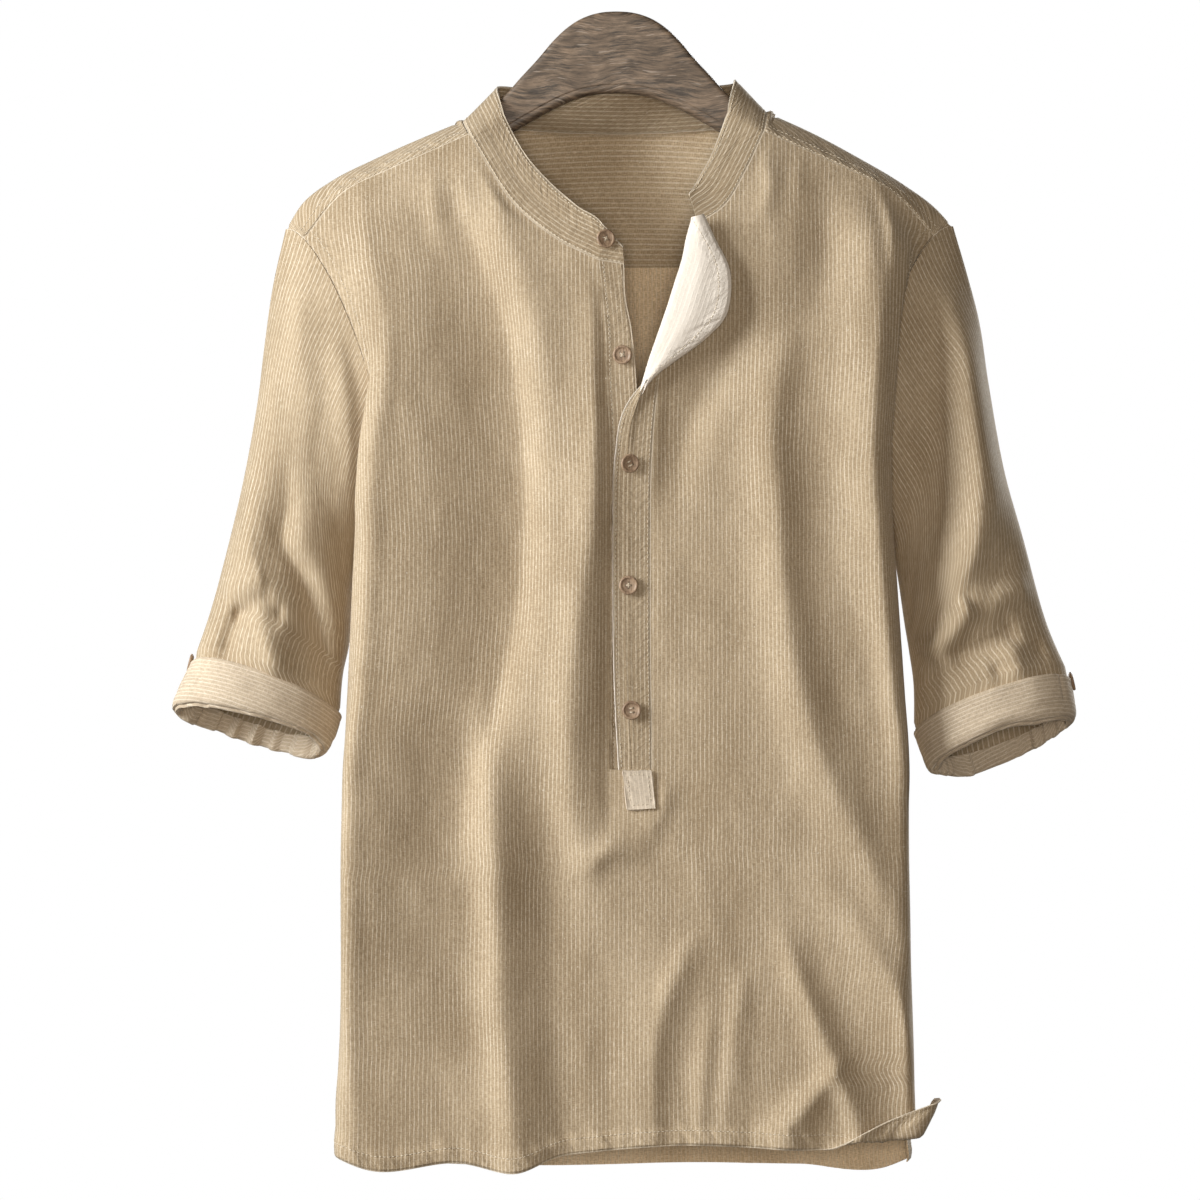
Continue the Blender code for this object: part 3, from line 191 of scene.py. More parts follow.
# Folds of the front: each runs down through rows of z, x of its crest, half width to the
# left and to the right of the crest, and height. A negative height is a trough.
FRONT_FOLDS = (
    # left side: streaks from the shoulder, the hollow below them and the fold to the hem
    ((-84, -92, 7, 7, 0), (-96, -89, 7, 8, 2.5), (-125, -83, 8, 10, 3.5),
     (-150, -76, 10, 14, 3.5), (-185, -64, 14, 18, 3.5), (-225, -50, 16, 18, 3),
     (-260, -42, 16, 16, 0)),
    ((-96, -128, 6, 8, 0), (-108, -126, 6, 9, 3), (-125, -124, 7, 12, 3.5),
     (-145, -120, 8, 14, 2.5), (-175, -112, 9, 14, 0)),
    ((-100, -106, 5, 6, 0), (-114, -104, 5, 7, 1.6), (-145, -100, 6, 8, 1.4),
     (-170, -97, 6, 8, 0)),
    ((-112, -118, 20, 12, 0), (-150, -102, 36, 12, -8), (-205, -80, 44, 12, -13),
     (-300, -64, 46, 12, -15), (-400, -68, 46, 13, -15), (-470, -84, 44, 13, -13),
     (-520, -100, 38, 14, -9), (-590, -112, 32, 14, 0)),
    ((-455, -186, 4, 40, 0), (-485, -186, 4, 56, 9), (-560, -186, 4, 62, 17),
     (-620, -186, 5, 58, 16), (-665, -184, 6, 50, 10), (-700, -180, 8, 42, 7),
     (-755, -174, 10, 36, 5), (-800, -170, 12, 34, 4)),
    ((-440, -88, 12, 14, 0), (-480, -88, 12, 14, 3), (-520, -86, 12, 15, 7),
     (-560, -83, 12, 17, 9.5), (-620, -80, 12, 19, 11), (-680, -77, 12, 20, 11),
     (-730, -72, 12, 21, 10.5), (-780, -67, 12, 21, 9.5), (-810, -65, 12, 21, 9)),
    ((-500, -48, 12, 16, 0), (-560, -47, 12, 18, -2), (-640, -43, 12, 18, -2.5),
     (-720, -38, 12, 16, -2.5), (-810, -35, 12, 14, -2)),
    # beside the placket
    ((-180, -13, 13, 10, 0), (-210, -12, 15, 10, 2.5), (-262, -12, 17, 12, 5),
     (-300, -14, 17, 14, 7), (-350, -18, 17, 15, 9), (-400, -25, 16, 18, 10.5),
     (-450, -30, 15, 20, 10.5), (-500, -32, 15, 19, 9.5), (-535, -30, 14, 18, 7),
     (-565, -25, 12, 16, 4), (-600, -16, 12, 14, 0)),
    ((-170, -9, 5, 5, 0), (-185, -8, 5, 5, 1.8), (-240, -6, 5, 6, 2.6), (-275, -3, 5, 6, 2.2),
     (-300, -2, 4, 5, 0)),
    ((-190, 92, 16, 14, 0), (-215, 84, 16, 14, -3), (-250, 65, 16, 14, -5),
     (-280, 50, 16, 14, -5), (-310, 42, 14, 12, -3), (-345, 38, 12, 10, 0)),
    ((-515, 32, 7, 8, 0), (-535, 29, 7, 8, 3), (-552, 19, 8, 8, 4.5), (-565, 2, 9, 8, 5),
     (-575, -12, 9, 8, 3.5), (-590, -22, 9, 9, 0)),
    # right side: the long diagonal fold and the broad one above the sleeve
    ((-215, 116, 12, 12, 0), (-245, 108, 13, 13, 4), (-280, 104, 14, 15, 7),
     (-340, 108, 15, 15, 9), (-400, 113, 16, 16, 10), (-450, 121, 16, 17, 10.5),
     (-500, 135, 17, 17, 10), (-540, 152, 17, 16, 8.5), (-570, 167, 16, 15, 7),
     (-600, 180, 15, 13, 5), (-650, 194, 12, 9, 0)),
    ((-128, 166, 10, 10, 0), (-160, 172, 15, 13, 5), (-200, 175, 20, 13, 8),
     (-250, 173, 23, 12, 10), (-300, 172, 21, 12, 10), (-350, 177, 17, 10, 9),
     (-400, 183, 14, 8, 7.5), (-450, 188, 11, 7, 6), (-500, 193, 9, 6, 4),
     (-535, 196, 8, 6, 0)),
    ((-112, 140, 10, 12, 0), (-140, 142, 12, 14, -3), (-165, 142, 14, 14, -4),
     (-195, 138, 14, 14, -2), (-215, 134, 12, 12, 0)),
    # streaks below the right shoulder seam
    ((-84, 104, 5, 6, 0), (-98, 104, 6, 7, 2.4), (-122, 103, 6, 8, 2.6), (-150, 99, 6, 8, 0)),
    ((-88, 124, 5, 6, 0), (-100, 124, 5, 6, 1.6), (-118, 123, 5, 7, 1.2), (-135, 122, 5, 7, 0)),
    ((-118, 182, 5, 5, 0), (-132, 184, 5, 5, 2.2), (-160, 186, 5, 5, 2), (-185, 188, 5, 5, 0)),
    # lower right: folds down from the long one, the sharp diagonal one and the hem's flare
    ((-560, 124, 13, 16, 0), (-600, 150, 15, 15, 4), (-640, 176, 17, 12, 7),
     (-670, 189, 18, 8, 8), (-700, 196, 17, 6, 6), (-725, 199, 14, 6, 0)),
    ((-612, 108, 8, 9, 0), (-640, 118, 9, 10, 5), (-670, 129, 9, 11, 9),
     (-700, 141, 9, 12, 10.5), (-730, 153, 9, 12, 10), (-757, 163, 8, 11, 6),
     (-780, 170, 8, 10, 0)),
    ((-620, 52, 8, 9, 0), (-645, 43, 9, 10, 4), (-672, 32, 11, 12, 6),
     (-710, 22, 11, 12, 6.5), (-760, 19, 11, 12, 5), (-810, 18, 11, 12, 5)),
    ((-665, 64, 6, 7, 0), (-695, 61, 7, 7, 2.6), (-740, 57, 7, 8, 3), (-768, 56, 7, 8, 2),
     (-790, 55, 8, 8, 0)),
    ((-640, 88, 7, 9, 0), (-670, 82, 7, 10, 3), (-710, 77, 7, 11, 3.5), (-750, 73, 7, 11, 2.5),
     (-790, 70, 8, 11, 0)),
    ((-704, 152, 7, 6, 0), (-718, 144, 9, 6, 4), (-732, 134, 11, 8, 8), (-745, 124, 12, 11, 9.5),
     (-757, 115, 12, 14, 9.5), (-772, 108, 13, 16, 8), (-800, 106, 13, 16, 6)),
    ((-640, 190, 6, 6, 0), (-670, 193, 6, 5, 2.5), (-720, 196, 6, 5, 2.5), (-750, 197, 6, 5, 0)),
)
FOLD_SHARPNESS = 1.8      # 2 is a bell, and less is more pointed

# Folds of the back: top x, z, bottom x, z, sideways bow, half widths to the left and to the
# right of the crest, and height.
BACK_FOLDS = (
    (-150, -230, -128, -640, 6, 17, 17, 5.0), (-92, -300, -78, -800, -5, 16, 16, 4.0),
    (-30, -190, -26, -800, 4, 18, 18, -4.0), (24, -420, 40, -800, 0, 15, 15, 4.5),
    (92, -210, 84, -640, -4, 18, 18, 4.5), (150, -260, 128, -700, 5, 16, 16, 4.0),
    (118, -560, 150, -800, 0, 14, 14, -3.5),
)
SLEEVE_PATHS = {          # folds of the sleeves' fronts, as those of the front
    "left": (
        ((-170, -219, 8, 10, 0), (-190, -217, 10, 10, 3), (-230, -214, 11, 11, 4),
         (-262, -208, 10, 10, 2), (-290, -204, 10, 10, 0)),
        ((-215, -188, 9, 8, 0), (-243, -186, 11, 8, 4), (-290, -182, 12, 7, 5),
         (-330, -181, 12, 7, 3), (-350, -180, 10, 7, 0)),
        ((-280, -246, 14, 10, 0), (-320, -249, 18, 11, 3), (-360, -250, 18, 10, 4.5),
         (-385, -246, 16, 10, 3), (-400, -244, 14, 10, 0)),
        ((-300, -224, 10, 9, 0), (-335, -223, 12, 9, -6), (-364, -225, 13, 9, -10),
         (-384, -214, 13, 9, -12), (-413, -204, 12, 9, -11), (-440, -198, 10, 8, -7),
         (-462, -194, 9, 8, 0)),
        ((-402, -240, 10, 10, 0), (-416, -239, 11, 12, 6), (-438, -232, 11, 12, 10),
         (-458, -227, 11, 11, 7), (-476, -224, 10, 10, 0)),
    ),
    "right": (
        ((-170, 218, 12, 14, 0), (-220, 234, 14, 16, 11), (-285, 244, 15, 18, 17),
         (-330, 247, 16, 18, 18), (-360, 242, 16, 18, 14), (-385, 234, 14, 16, 7),
         (-405, 226, 12, 14, 0)),
        ((-200, 212, 14, 10, 0), (-250, 216, 15, 10, -5), (-290, 220, 16, 10, -7),
         (-330, 222, 16, 10, -7), (-360, 218, 14, 10, -4), (-385, 214, 12, 10, 0)),
        ((-425, 266, 9, 9, 0), (-440, 270, 11, 9, 7), (-456, 273, 11, 9, 7),
         (-470, 276, 9, 9, 0)),
    ),
}
SLEEVE_ARCHES = {         # and those that cross them, as those of the back
    "left": (
        (-262, -456, -250, -400, 5, 7, 7, -6.0), (-262, -406, -222, -408, -8, 8, 8, -3.0),
        (-268, -392, -236, -384, -3, 9, 9, 3.0),
        (-228, -118, -214, -170, 0, 4, 5, 1.4), (-222, -130, -204, -190, 2, 4, 5, 1.4),
    ),
    "right": (
        (238, -398, 202, -440, 6, 10, 10, 8.0), (284, -388, 226, -404, 3, 10, 10, 6.5),
        (272, -416, 222, -440, 3, 9, 10, -5.0), (292, -430, 250, -450, 2, 8, 8, -3.5),
        (228, -118, 222, -175, 0, 4, 5, 1.4), (236, -150, 228, -205, 2, 4, 5, 1.4),
    ),
}
SLEEVE_FOLDS = (          # start, turn there, end, turn there, half width, height
    (0.05, 60, 0.62, 105, 12, 4.0), (0.55, 30, 0.80, 140, 11, 4.0),
    (0.70, 40, 0.86, 120, 9, -3.5), (0.35, 110, 0.75, 150, 10, 3.0),
    (0.45, -40, 0.75, -130, 13, 3.5), (0.65, -60, 0.85, -120, 10, -3.0),
)

# ---------------------------------------------------------------- density of the sheets
PANEL_STEP = 2.9
BACK_STEP = 3.5
SHOULDER_COLUMNS = 92
NECK_COLUMNS = 50
VENT_STEPS = 14
SLOT_COLUMNS = 12
HEM_ROWS = 12
YOKE_ROWS = 44
BAND_STEPS = 14
UNDER_COLUMNS = 15
OVER_STEPS = 40
BOX_ROWS = 19
BOX_COLUMNS = 15
SLEEVE_RINGS = 120
SLEEVE_COLUMNS = 200
CUFF_STEPS = 61

# ---------------------------------------------------------------- seams and stitching
STITCH_PITCH = 3.0
STITCH_LENGTH = 2.2
STITCH_RADIUS = 0.26
STITCH_LIFT = 0.05        # of a stitch's middle line above the cloth
STITCH_SHAPE = ((0, 0.55, 0.0), (0.5, 1.0, 0.16), (1, 0.55, 0.0))    # place, thickness, rise
STITCH_INSET = 1.3        # from the edge of a doubled part to its stitching
ARMHOLE_LIP = 9.0
HEM_LIP = 11.5
FLAP_SEAM = 9.5           # from the over placket's free edge
FLAP_FOOT_Z = -262
YOKE_SEAM = 9.0
UNDER_SEAM = 5.0
BAND_SEAM = 3.5
BOX_SEAM = 3.4
YOKE_STITCHES = (1.7, YOKE_SEAM - STITCH_INSET)    # from its front seams
YOKE_BACK_STITCH = 2.0
OVER_STITCHES = (2.0, 2.2)                         # from its seam, and from its free edge
UNDER_STITCH = 3.6
HEM_BAND = 24             # rows that hold the hem's stitching
SEAMLESS = 50.0           # distance given where no seam is near
LINEN_WAVES = (           # height, and the size across and down of one wave
    (0.9, 34, 95), (0.45, 17, 46), (0.18, 7, 15),
)
WAVE_SLANT = 0.35


# ---------------------------------------------------------------- curves and noise
def smooth(knots, values, at):
    """Values at the places asked for, on a cubic through a table's rows."""
    knots = np.asarray(knots, float)
    values = np.asarray(values, float)
    slopes = np.gradient(values, knots, axis=0)
    at = np.clip(np.atleast_1d(np.asarray(at, float)), knots[0], knots[-1])
    row = np.clip(np.searchsorted(knots, at, side="right") - 1, 0, len(knots) - 2)
    span = knots[row + 1] - knots[row]
    t = (at - knots[row]) / span
    if values.ndim > 1:
        extra = (slice(None),) + (None,) * (values.ndim - 1)
        span, t = span[extra], t[extra]
    return ((2 * t**3 - 3 * t**2 + 1) * values[row] + (t**3 - 2 * t**2 + t) * span * slopes[row]
            + (3 * t**2 - 2 * t**3) * values[row + 1] + (t**3 - t**2) * span * slopes[row + 1])


def along(points, fractions):
    """Points at fractions of the length of a smooth curve through the given points."""
    points = np.asarray(points, float)
    steps = np.linalg.norm(np.diff(points, axis=0), axis=1)
    knots = np.concatenate(([0.0], np.cumsum(steps)))
    return smooth(knots / knots[-1], points, fractions)


def rows_between(keys, places, corner=None):
    """Rows of a table at fractional places; its slope may break at a corner row."""
    keys = np.asarray(keys, float)
    index = np.arange(len(keys))
    if corner is None:
        return smooth(index, keys, places)
    upper = smooth(index[:corner + 1], keys[:corner + 1], np.minimum(places, corner))
    lower = smooth(index[corner:], keys[corner:], np.maximum(places, corner))
    above = (places <= corner).reshape((-1,) + (1,) * (keys.ndim - 1))
    return np.where(above, upper, lower)


def ease(low, high, value):
    """0 below low, 1 above high, and smooth between."""
    t = np.clip((value - low) / (high - low), 0, 1)
    return t * t * (3 - 2 * t)


def noise(u, v, seed):
    """Smooth random heights from -1 to 1 over a plane, one knot for each unit."""
    lattice = np.random.default_rng(seed).random((61, 67))
    iu, iv = np.floor(u).astype(int), np.floor(v).astype(int)
    fu, fv = u - iu, v - iv
    fu, fv = fu * fu * (3 - 2 * fu), fv * fv * (3 - 2 * fv)
    a, b = lattice[iu % 61, iv % 67], lattice[(iu + 1) % 61, iv % 67]
    c, d = lattice[iu % 61, (iv + 1) % 67], lattice[(iu + 1) % 61, (iv + 1) % 67]
    return 2 * ((a * (1 - fu) + b * fu) * (1 - fv) + (c * (1 - fu) + d * fu) * fv) - 1


def distances(grid, axis):
    """Distance along a grid's rows (axis 1) or columns (axis 0), from its first point."""
    steps = np.linalg.norm(np.diff(grid, axis=axis), axis=2)
    shape = list(grid.shape[:2])
    shape[axis] = 1
    return np.concatenate((np.zeros(shape), np.cumsum(steps, axis=axis)), axis=axis)


def path_folds(folds, x, z):
    """How far folds that run down through rows push the surface out at x, z."""
    depth = np.zeros_like(x)
    for fold in folds:
        rows = np.array(fold, float)
        down = -z.ravel()
        crest, left_width, right_width, height = smooth(-rows[:, 0], rows[:, 1:], down).T
        ahead = smooth(-rows[:, 0], rows[:, 1], down + 1.0)
        tilt = np.hypot(1, ahead - crest)
        aside = (crest - x.ravel()) / tilt
        width = np.where(aside > 0, left_width, right_width)
        inside = (down >= -rows[0, 0]) & (down <= -rows[-1, 0])
        bump = height * np.exp(-np.abs(aside / width) ** FOLD_SHARPNESS)
        depth += np.where(inside, bump, 0).reshape(x.shape)
    return depth


def straight_folds(folds, x, z):
    """How far straight folds push the surface out at x, z."""
    depth = np.zeros_like(x)
    for top_x, top_z, bottom_x, bottom_z, bow, left_width, right_width, height in folds:
        length = math.hypot(bottom_x - top_x, bottom_z - top_z)
        run_x, run_z = (bottom_x - top_x) / length, (bottom_z - top_z) / length
        down = (x - top_x) * run_x + (z - top_z) * run_z
        place = np.clip(down / length, 0, 1)
        aside = (x - top_x) * run_z - (z - top_z) * run_x + bow * np.sin(math.pi * place)
        width = np.where(aside > 0, left_width, right_width)
        beyond = np.maximum(np.abs(down - length / 2) - 0.32 * length, 0) / (0.18 * length)
        depth += height * (1 - ease(0, 1, beyond)) * np.exp(-(aside / width) ** 2)
    return depth


# ---------------------------------------------------------------- sheets of the body
def armhole_point(side, degrees):
    """Points of the armhole, by angle from the shoulder point; the back is negative."""
    centre_x, centre_z, top_dx, top_dz, front_in, back_in = ARMHOLES[side]
    degrees = np.asarray(degrees, float)
    across, out = np.cos(np.radians(degrees)), np.sin(np.radians(np.abs(degrees)))
    inwards = np.where(degrees > 0, front_in, back_in)
    depth = np.where(degrees > 0, -ARMHOLE_DEPTH, ARMHOLE_DEPTH)
    scoop = np.where(across < 0, out ** ARMHOLE_SCOOP, out)
    return np.stack((centre_x + across * top_dx + scoop * inwards, out * depth,
                     centre_z + across * top_dz), axis=-1)


def front_controls(side):
    """Side seam, rolled edge, panel edge and centre of one front half, by row of the solids."""
    inward = 1 if side == "left" else -1
    seams, edges, centres = [], [], []
    for index, (edge_x, edge_y, edge_z, centre_x, centre_z, plane_y) in enumerate(ARM_ROWS[side]):
        share = index / FRONT_ARM_ROWS
        seams.append(armhole_point(side, FRONT_SEAM_ANGLE + (180 - FRONT_SEAM_ANGLE) * share))
        edges.append((edge_x, edge_y, edge_z))
        centres.append((centre_x, plane_y, centre_z))
    for z, left_seam, left_edge, right_seam, right_edge, seam_y, edge_y, left, right in BODY_ROWS:
        seam_x, edge_x, centre_x = (
            (left_seam, left_edge, left) if side == "left" else (right_seam, right_edge, right))
        seams.append((seam_x, seam_y, z))
        edges.append((edge_x, edge_y, z))
        centres.append((centre_x, PANEL_Y, z))
    seams, edges, centres = (np.array(v, float) for v in (seams, edges, centres))
    roll = ROLL_RUN / np.abs(centres[:, :1] - edges[:, :1])
    panels = edges + (centres - edges) * roll
    low = ease(450, 520, -centres[:, 2])
    panels[:, 0] = edges[:, 0] + inward * (ROLL_WIDTH + (LOW_ROLL_WIDTH - ROLL_WIDTH) * low)
    panels[:, 1] = centres[:, 1] + 0.5
    panels[0, 1] += 0.5
    return seams, edges, panels, centres


def panel_places(step):
    """Rows of a dense panel, as fractional rows of the solids, about a step apart."""
    lengths = 0
    for side in SIDES:
        _, edges, _, centres = front_controls(side)
        for path in (edges, centres):
            lengths = lengths + np.linalg.norm(np.diff(path, axis=0), axis=1) / 4
    counts = np.maximum(1, np.round(lengths / step)).astype(int)
    parts = [row + np.arange(count) / count for row, count in enumerate(counts)]
    return np.concatenate((*parts, [len(counts)]))


def column_fractions():
    """Fractions across a front half, closer together at its side."""
    return np.linspace(0, 1, SHOULDER_COLUMNS + 1) ** CROWDING


def front_half(side, places):
    """Grid of one front half: rows from the shoulder seam down to the hem strip's top."""
    seams, edges, panels, centres = front_controls(side)
    seams = rows_between(seams, places, FRONT_ARM_ROWS)
    centres = rows_between(centres, places, NECK_CORNER_ROW)
    edges, panels = rows_between(edges, places), rows_between(panels, places)
    thirds = [panels + (centres - panels) * part for part in (0.08, 0.33, 0.66)]
    controls = np.stack((seams, edges, panels, *thirds, centres), axis=1)
    fractions = column_fractions()
    return np.array([along(row, fractions) for row in controls])


def with_hem(grid):
    """The front's grid with its hem strip, turned up at the right corner."""
    hem = np.array(FRONT_HEM, float)
    last = grid[-1].copy()
    top_z, length, turn, lean = smooth(hem[:, 0], hem[:, 1:], last[:, 0]).T
    shift = top_z - last[:, 2]
    # The last rows above the strip take up its uneven height.
    for back, share in enumerate((1, 0.8, 0.6, 0.4, 0.2)):
        grid[-1 - back, :, 2] += shift * share
    last = grid[-1]
    radius = HEM_CURL / np.maximum(np.radians(np.clip(turn, 0, 180)), 1e-3)
    strip = []
    for step in np.linspace(0, 1, HEM_ROWS + 1)[1:]:
        run = length * step
        bent = np.minimum(run, HEM_CURL)
        angle = bent / radius
        rest = run - bent
        row = last.copy()
        row[:, 0] += lean * step
        row[:, 1] -= radius * (1 - np.cos(angle)) + rest * np.sin(angle)
        row[:, 2] -= radius * np.sin(angle) + rest * np.cos(angle)
        strip.append(row)
    return np.concatenate((grid, strip))


def panel_detail(x, z, seed):
    """Small unevenness of the hanging linen, in millimetres out of the panel."""
    height = 0
    for index, (rise, wide, tall) in enumerate(LINEN_WAVES):
        across = x + WAVE_SLANT * z if index == 1 else x
        height = height + rise * noise(across / wide, z / tall, seed + index)
    return height


def body_grids():
    """Dense grids of the fronts, back and yoke, and the places of the fronts' rows."""
    places = panel_places(PANEL_STEP)
    left, right = (front_half(side, places) for side in SIDES)
    back, back_places = back_grid()
    yoke = yoke_grid(left, right, back)
    for grid in (left, right):
        calm = ease(0, 0.05, column_fractions()) * ease(0, 1.0, places)[:, None]
        x, z = grid[:, :, 0], grid[:, :, 2]
        # The placket and the neck band keep the panel still beside them.
        loose = ease(0.5, 8, np.abs(x - x[:, -1:]))
        loose = loose + (1 - loose) * ease(525, 560, -z)
        grid[:, :, 1] -= calm * loose * path_folds(FRONT_FOLDS, x, z)
        grid[:, :, 1] -= ease(0, 0.3, places)[:, None] * loose * panel_detail(x, z, 11)
    across = np.linspace(0, 1, back.shape[1])
    calm = ease(0, 0.08, np.minimum(across, 1 - across)) * ease(0, 2, back_places)[:, None]
    x, z = back[:, :, 0], back[:, :, 2]
    back[:, :, 1] += calm * (straight_folds(BACK_FOLDS, x, z) + panel_detail(x, z, 21))
    return left, right, back, yoke, places, back_places


def back_grid():
    """Grid of the back, from left to right, sharing the fronts' armholes and side seams."""
    places = panel_places(BACK_STEP)
    left_front, right_front = (
        rows_between(front_controls(side)[0], places, FRONT_ARM_ROWS) for side in SIDES)
    arm = places[(places <= FRONT_ARM_ROWS)] * BACK_ARM_ROWS / FRONT_ARM_ROWS
    angles = -(BACK_SEAM_ANGLE + (180 - BACK_SEAM_ANGLE) * arm / BACK_ARM_ROWS)
    left, right = ([armhole_point(side, angles)] for side in SIDES)
    heights = [BACK_SEAM_Z + (UNDERARM_Z - BACK_SEAM_Z) * arm / BACK_ARM_ROWS]
    rows = [arm]
    body = (places > FRONT_ARM_ROWS) & (places <= VENT_ROW)
    left.append(left_front[body])
    right.append(right_front[body])
    heights.append(left_front[body, 2])
    rows.append(places[body] - FRONT_ARM_ROWS + BACK_ARM_ROWS)
    vent = np.array(BACK_VENT, float)
    vent = np.vstack(((left_front[body][-1, 2], left_front[body][-1, 1]), vent))
    steps = np.linspace(0, 3, VENT_STEPS + 1)[1:]
    vent = smooth(range(4), vent, steps)
    for ends, x in ((left, -183), (right, 198)):
        ends.append(np.stack((np.full(VENT_STEPS, float(x)), vent[:, 1], vent[:, 0]), axis=1))
    heights.append(vent[:, 0])
    rows.append(VENT_ROW - FRONT_ARM_ROWS + BACK_ARM_ROWS + steps)
    left, right, heights, rows = (np.concatenate(v) for v in (left, right, heights, rows))
    shoulder = np.linspace(0, (1 - BACK_MIDDLE) / 2, SHOULDER_COLUMNS + 1)
    middle = np.linspace((1 - BACK_MIDDLE) / 2, (1 + BACK_MIDDLE) / 2, NECK_COLUMNS + 1)
    fractions = np.concatenate((shoulder, middle[1:], 1 - shoulder[::-1][1:]))
    grid = []
    for start, end, z, index in zip(left, right, heights, rows):
        rolled = min(index / 3, 1)
        reach = 3 * rolled - 8 * (1 - rolled)
        turn_y = 17 * rolled + 5 * (1 - rolled)
        controls = [
            start, start + (-reach, turn_y, 0), (start[0] + 26, BACK_Y - 4, (start[2] + z) / 2),
            (start[0] * 0.45, BACK_Y, z), (0, BACK_Y, z), (end[0] * 0.45, BACK_Y, z),
            (end[0] - 26, BACK_Y - 4, (end[2] + z) / 2), end + (reach, turn_y, 0), end]
        grid.append(along(controls, fractions))
    grid = np.array(grid)
    hem = np.array(BACK_HEM, float)
    drop = smooth(hem[:, 0], hem[:, 1], grid[-1, :, 0]) - grid[-1, :, 2]
    grid[-8:, :, 2] += drop * np.linspace(0.12, 1, 8)[:, None]
    return grid, rows


def yoke_grid(left_front, right_front, back):
    """Grid of the yoke: front seam, over the ridge, down to the back yoke seam."""
    left, right = left_front[0], right_front[0][::-1]
    neck = [left[-1], NECK_RIDGE["left"], *BACK_NECK, NECK_RIDGE["right"], right[0]]
    neck = along(neck, np.linspace(0, 1, NECK_COLUMNS + 1))
    top = np.concatenate((left, neck[1:-1], right))
    fractions = column_fractions()
    ridges = {}
    for side in SIDES:
        way = [armhole_point(side, 0)] + [(x, 0, z) for x, z in RIDGE[side][::-1]]
        ridges[side] = along(way, fractions)
    ridges["right"] = ridges["right"][::-1]
    foot, last = back[0], len(top) - 1
    places = np.linspace(0, 1, YOKE_ROWS + 1)
    first_column = (1 / CAD_SHOULDER) ** CROWDING

    def span(index):
        """The yoke's line over the shoulder at one column."""
        start, end = top[index], foot[index]
        rise = max(-start[1], 0) * YOKE_ROLL
        neck_ridge = np.array((start[0] * YOKE_SPREAD, max(start[1] + 1, 1), start[2] + rise - 1))
        if index <= SHOULDER_COLUMNS:
            ridge = ridges["left"][index]
        elif index >= last - SHOULDER_COLUMNS:
            ridge = ridges["right"][index - last + SHOULDER_COLUMNS]
        else:
            inside = min(index - SHOULDER_COLUMNS, last - SHOULDER_COLUMNS - index)
            share = min(inside * CAD_SHOULDER / NECK_COLUMNS, 1)
            corner = ridges["left"][-1] if index < last / 2 else ridges["right"][0]
            ridge = corner * (1 - share) + neck_ridge * share
        shoulder = np.array((ridge[0], max(start[1] + 3, YOKE_BACK_Y), ridge[2] - YOKE_DROP))
        return along([start, ridge, shoulder, end], places)

    columns = [span(index) for index in range(last + 1)]
    angles = np.interp(places, YOKE_PLACES,
                       (FRONT_SEAM_ANGLE, FRONT_SEAM_ANGLE / 2, 0, -BACK_SEAM_ANGLE / 3,
                        -BACK_SEAM_ANGLE * 2 / 3, -BACK_SEAM_ANGLE))
    near = int(np.searchsorted(fractions, first_column))
    for side in SIDES:
        arm = armhole_point(side, angles)
        inner = columns[near] if side == "left" else columns[last - near]
        for index in range(near):
            share = fractions[index] / fractions[near]
            place = index if side == "left" else last - index
            columns[place] = arm * (1 - share) + inner * share
    grid = np.array(columns).transpose(1, 0, 2)
    grid[0], grid[-1] = top, foot
    return grid


# ---------------------------------------------------------------- bands and plackets
def under_grid(left, right):
    """Grid of the under placket, from the slot's left edge to its free edge."""
    free = np.array(UNDER_FREE, float)
    shares = np.linspace(0, 1, UNDER_COLUMNS)
    grid = []
    for point, other in zip(left, right):
        free_x = smooth(-free[:, 0], free[:, 1], -point[2])[0]
        width = free_x - point[0]
        covered = min(max((OPEN_END_Z - point[2]) / 40, 0), 1)
        back_y = max(point[1], other[1] * covered + point[1] * (1 - covered)) - point[1]
        back_y += UNDER_STEP * (0.3 + 0.7 * covered)
        row = point + np.stack((width * shares, back_y * ease(0, 0.16, shares),
                                np.zeros_like(shares)), axis=1)
        grid.append(row)
    grid = np.array(grid)
    # The top edge slopes down to the free edge.
    sag = np.interp(shares, (0, 0.16, 0.58, 1), (0, 0.6, 1.8, 3.0))
    grid[:6, :, 2] -= sag * np.linspace(1, 0, 6)[:, None]
    return grid


def over_grid(left, right):
    """Grid of the over placket, from its stitched seam over its fold to its free edge."""
    table = np.array(OVER_ROWS, float)
    grid = []
    for other, point in zip(left, right):
        fold_x, fold_z, free_x, free_z, lift = smooth(-table[:, 0], table[:, 1:], -point[2])[0]
        level = min(point[1], other[1])
        fold = np.array((fold_x, level - 0.55 * lift, fold_z))
        free = np.array((free_x, level - 0.9 * lift, free_z))
        start = point + (fold - point) * 0.5 + (0, 0.2 * lift, 0)
        over = fold + (free - fold) * 0.3 + (0, -0.55 * lift, 0)
        grid.append(along([point, start, fold, over, free], np.linspace(0, 1, OVER_STEPS + 1)))
    return np.array(grid)


def band_grid(left, right, yoke, under):
    """Grid of the collar band, up from the neck seam, from the button end round the neck."""
    neck = yoke[0, SHOULDER_COLUMNS + 1:-SHOULDER_COLUMNS - 1]
    seam = np.concatenate((under[0][::-1], left[::-1][1:], neck, right))
    steps = np.linalg.norm(np.diff(seam, axis=0), axis=1)
    distance = np.concatenate(([0.0], np.cumsum(steps)))
    table = np.array(BAND_ROWS, float)
    rise = smooth(table[:, 0] * distance[-1] / table[-1, 0], table[:, 1:], distance)
    return np.array([seam + rise * step / BAND_STEPS for step in range(BAND_STEPS + 1)])


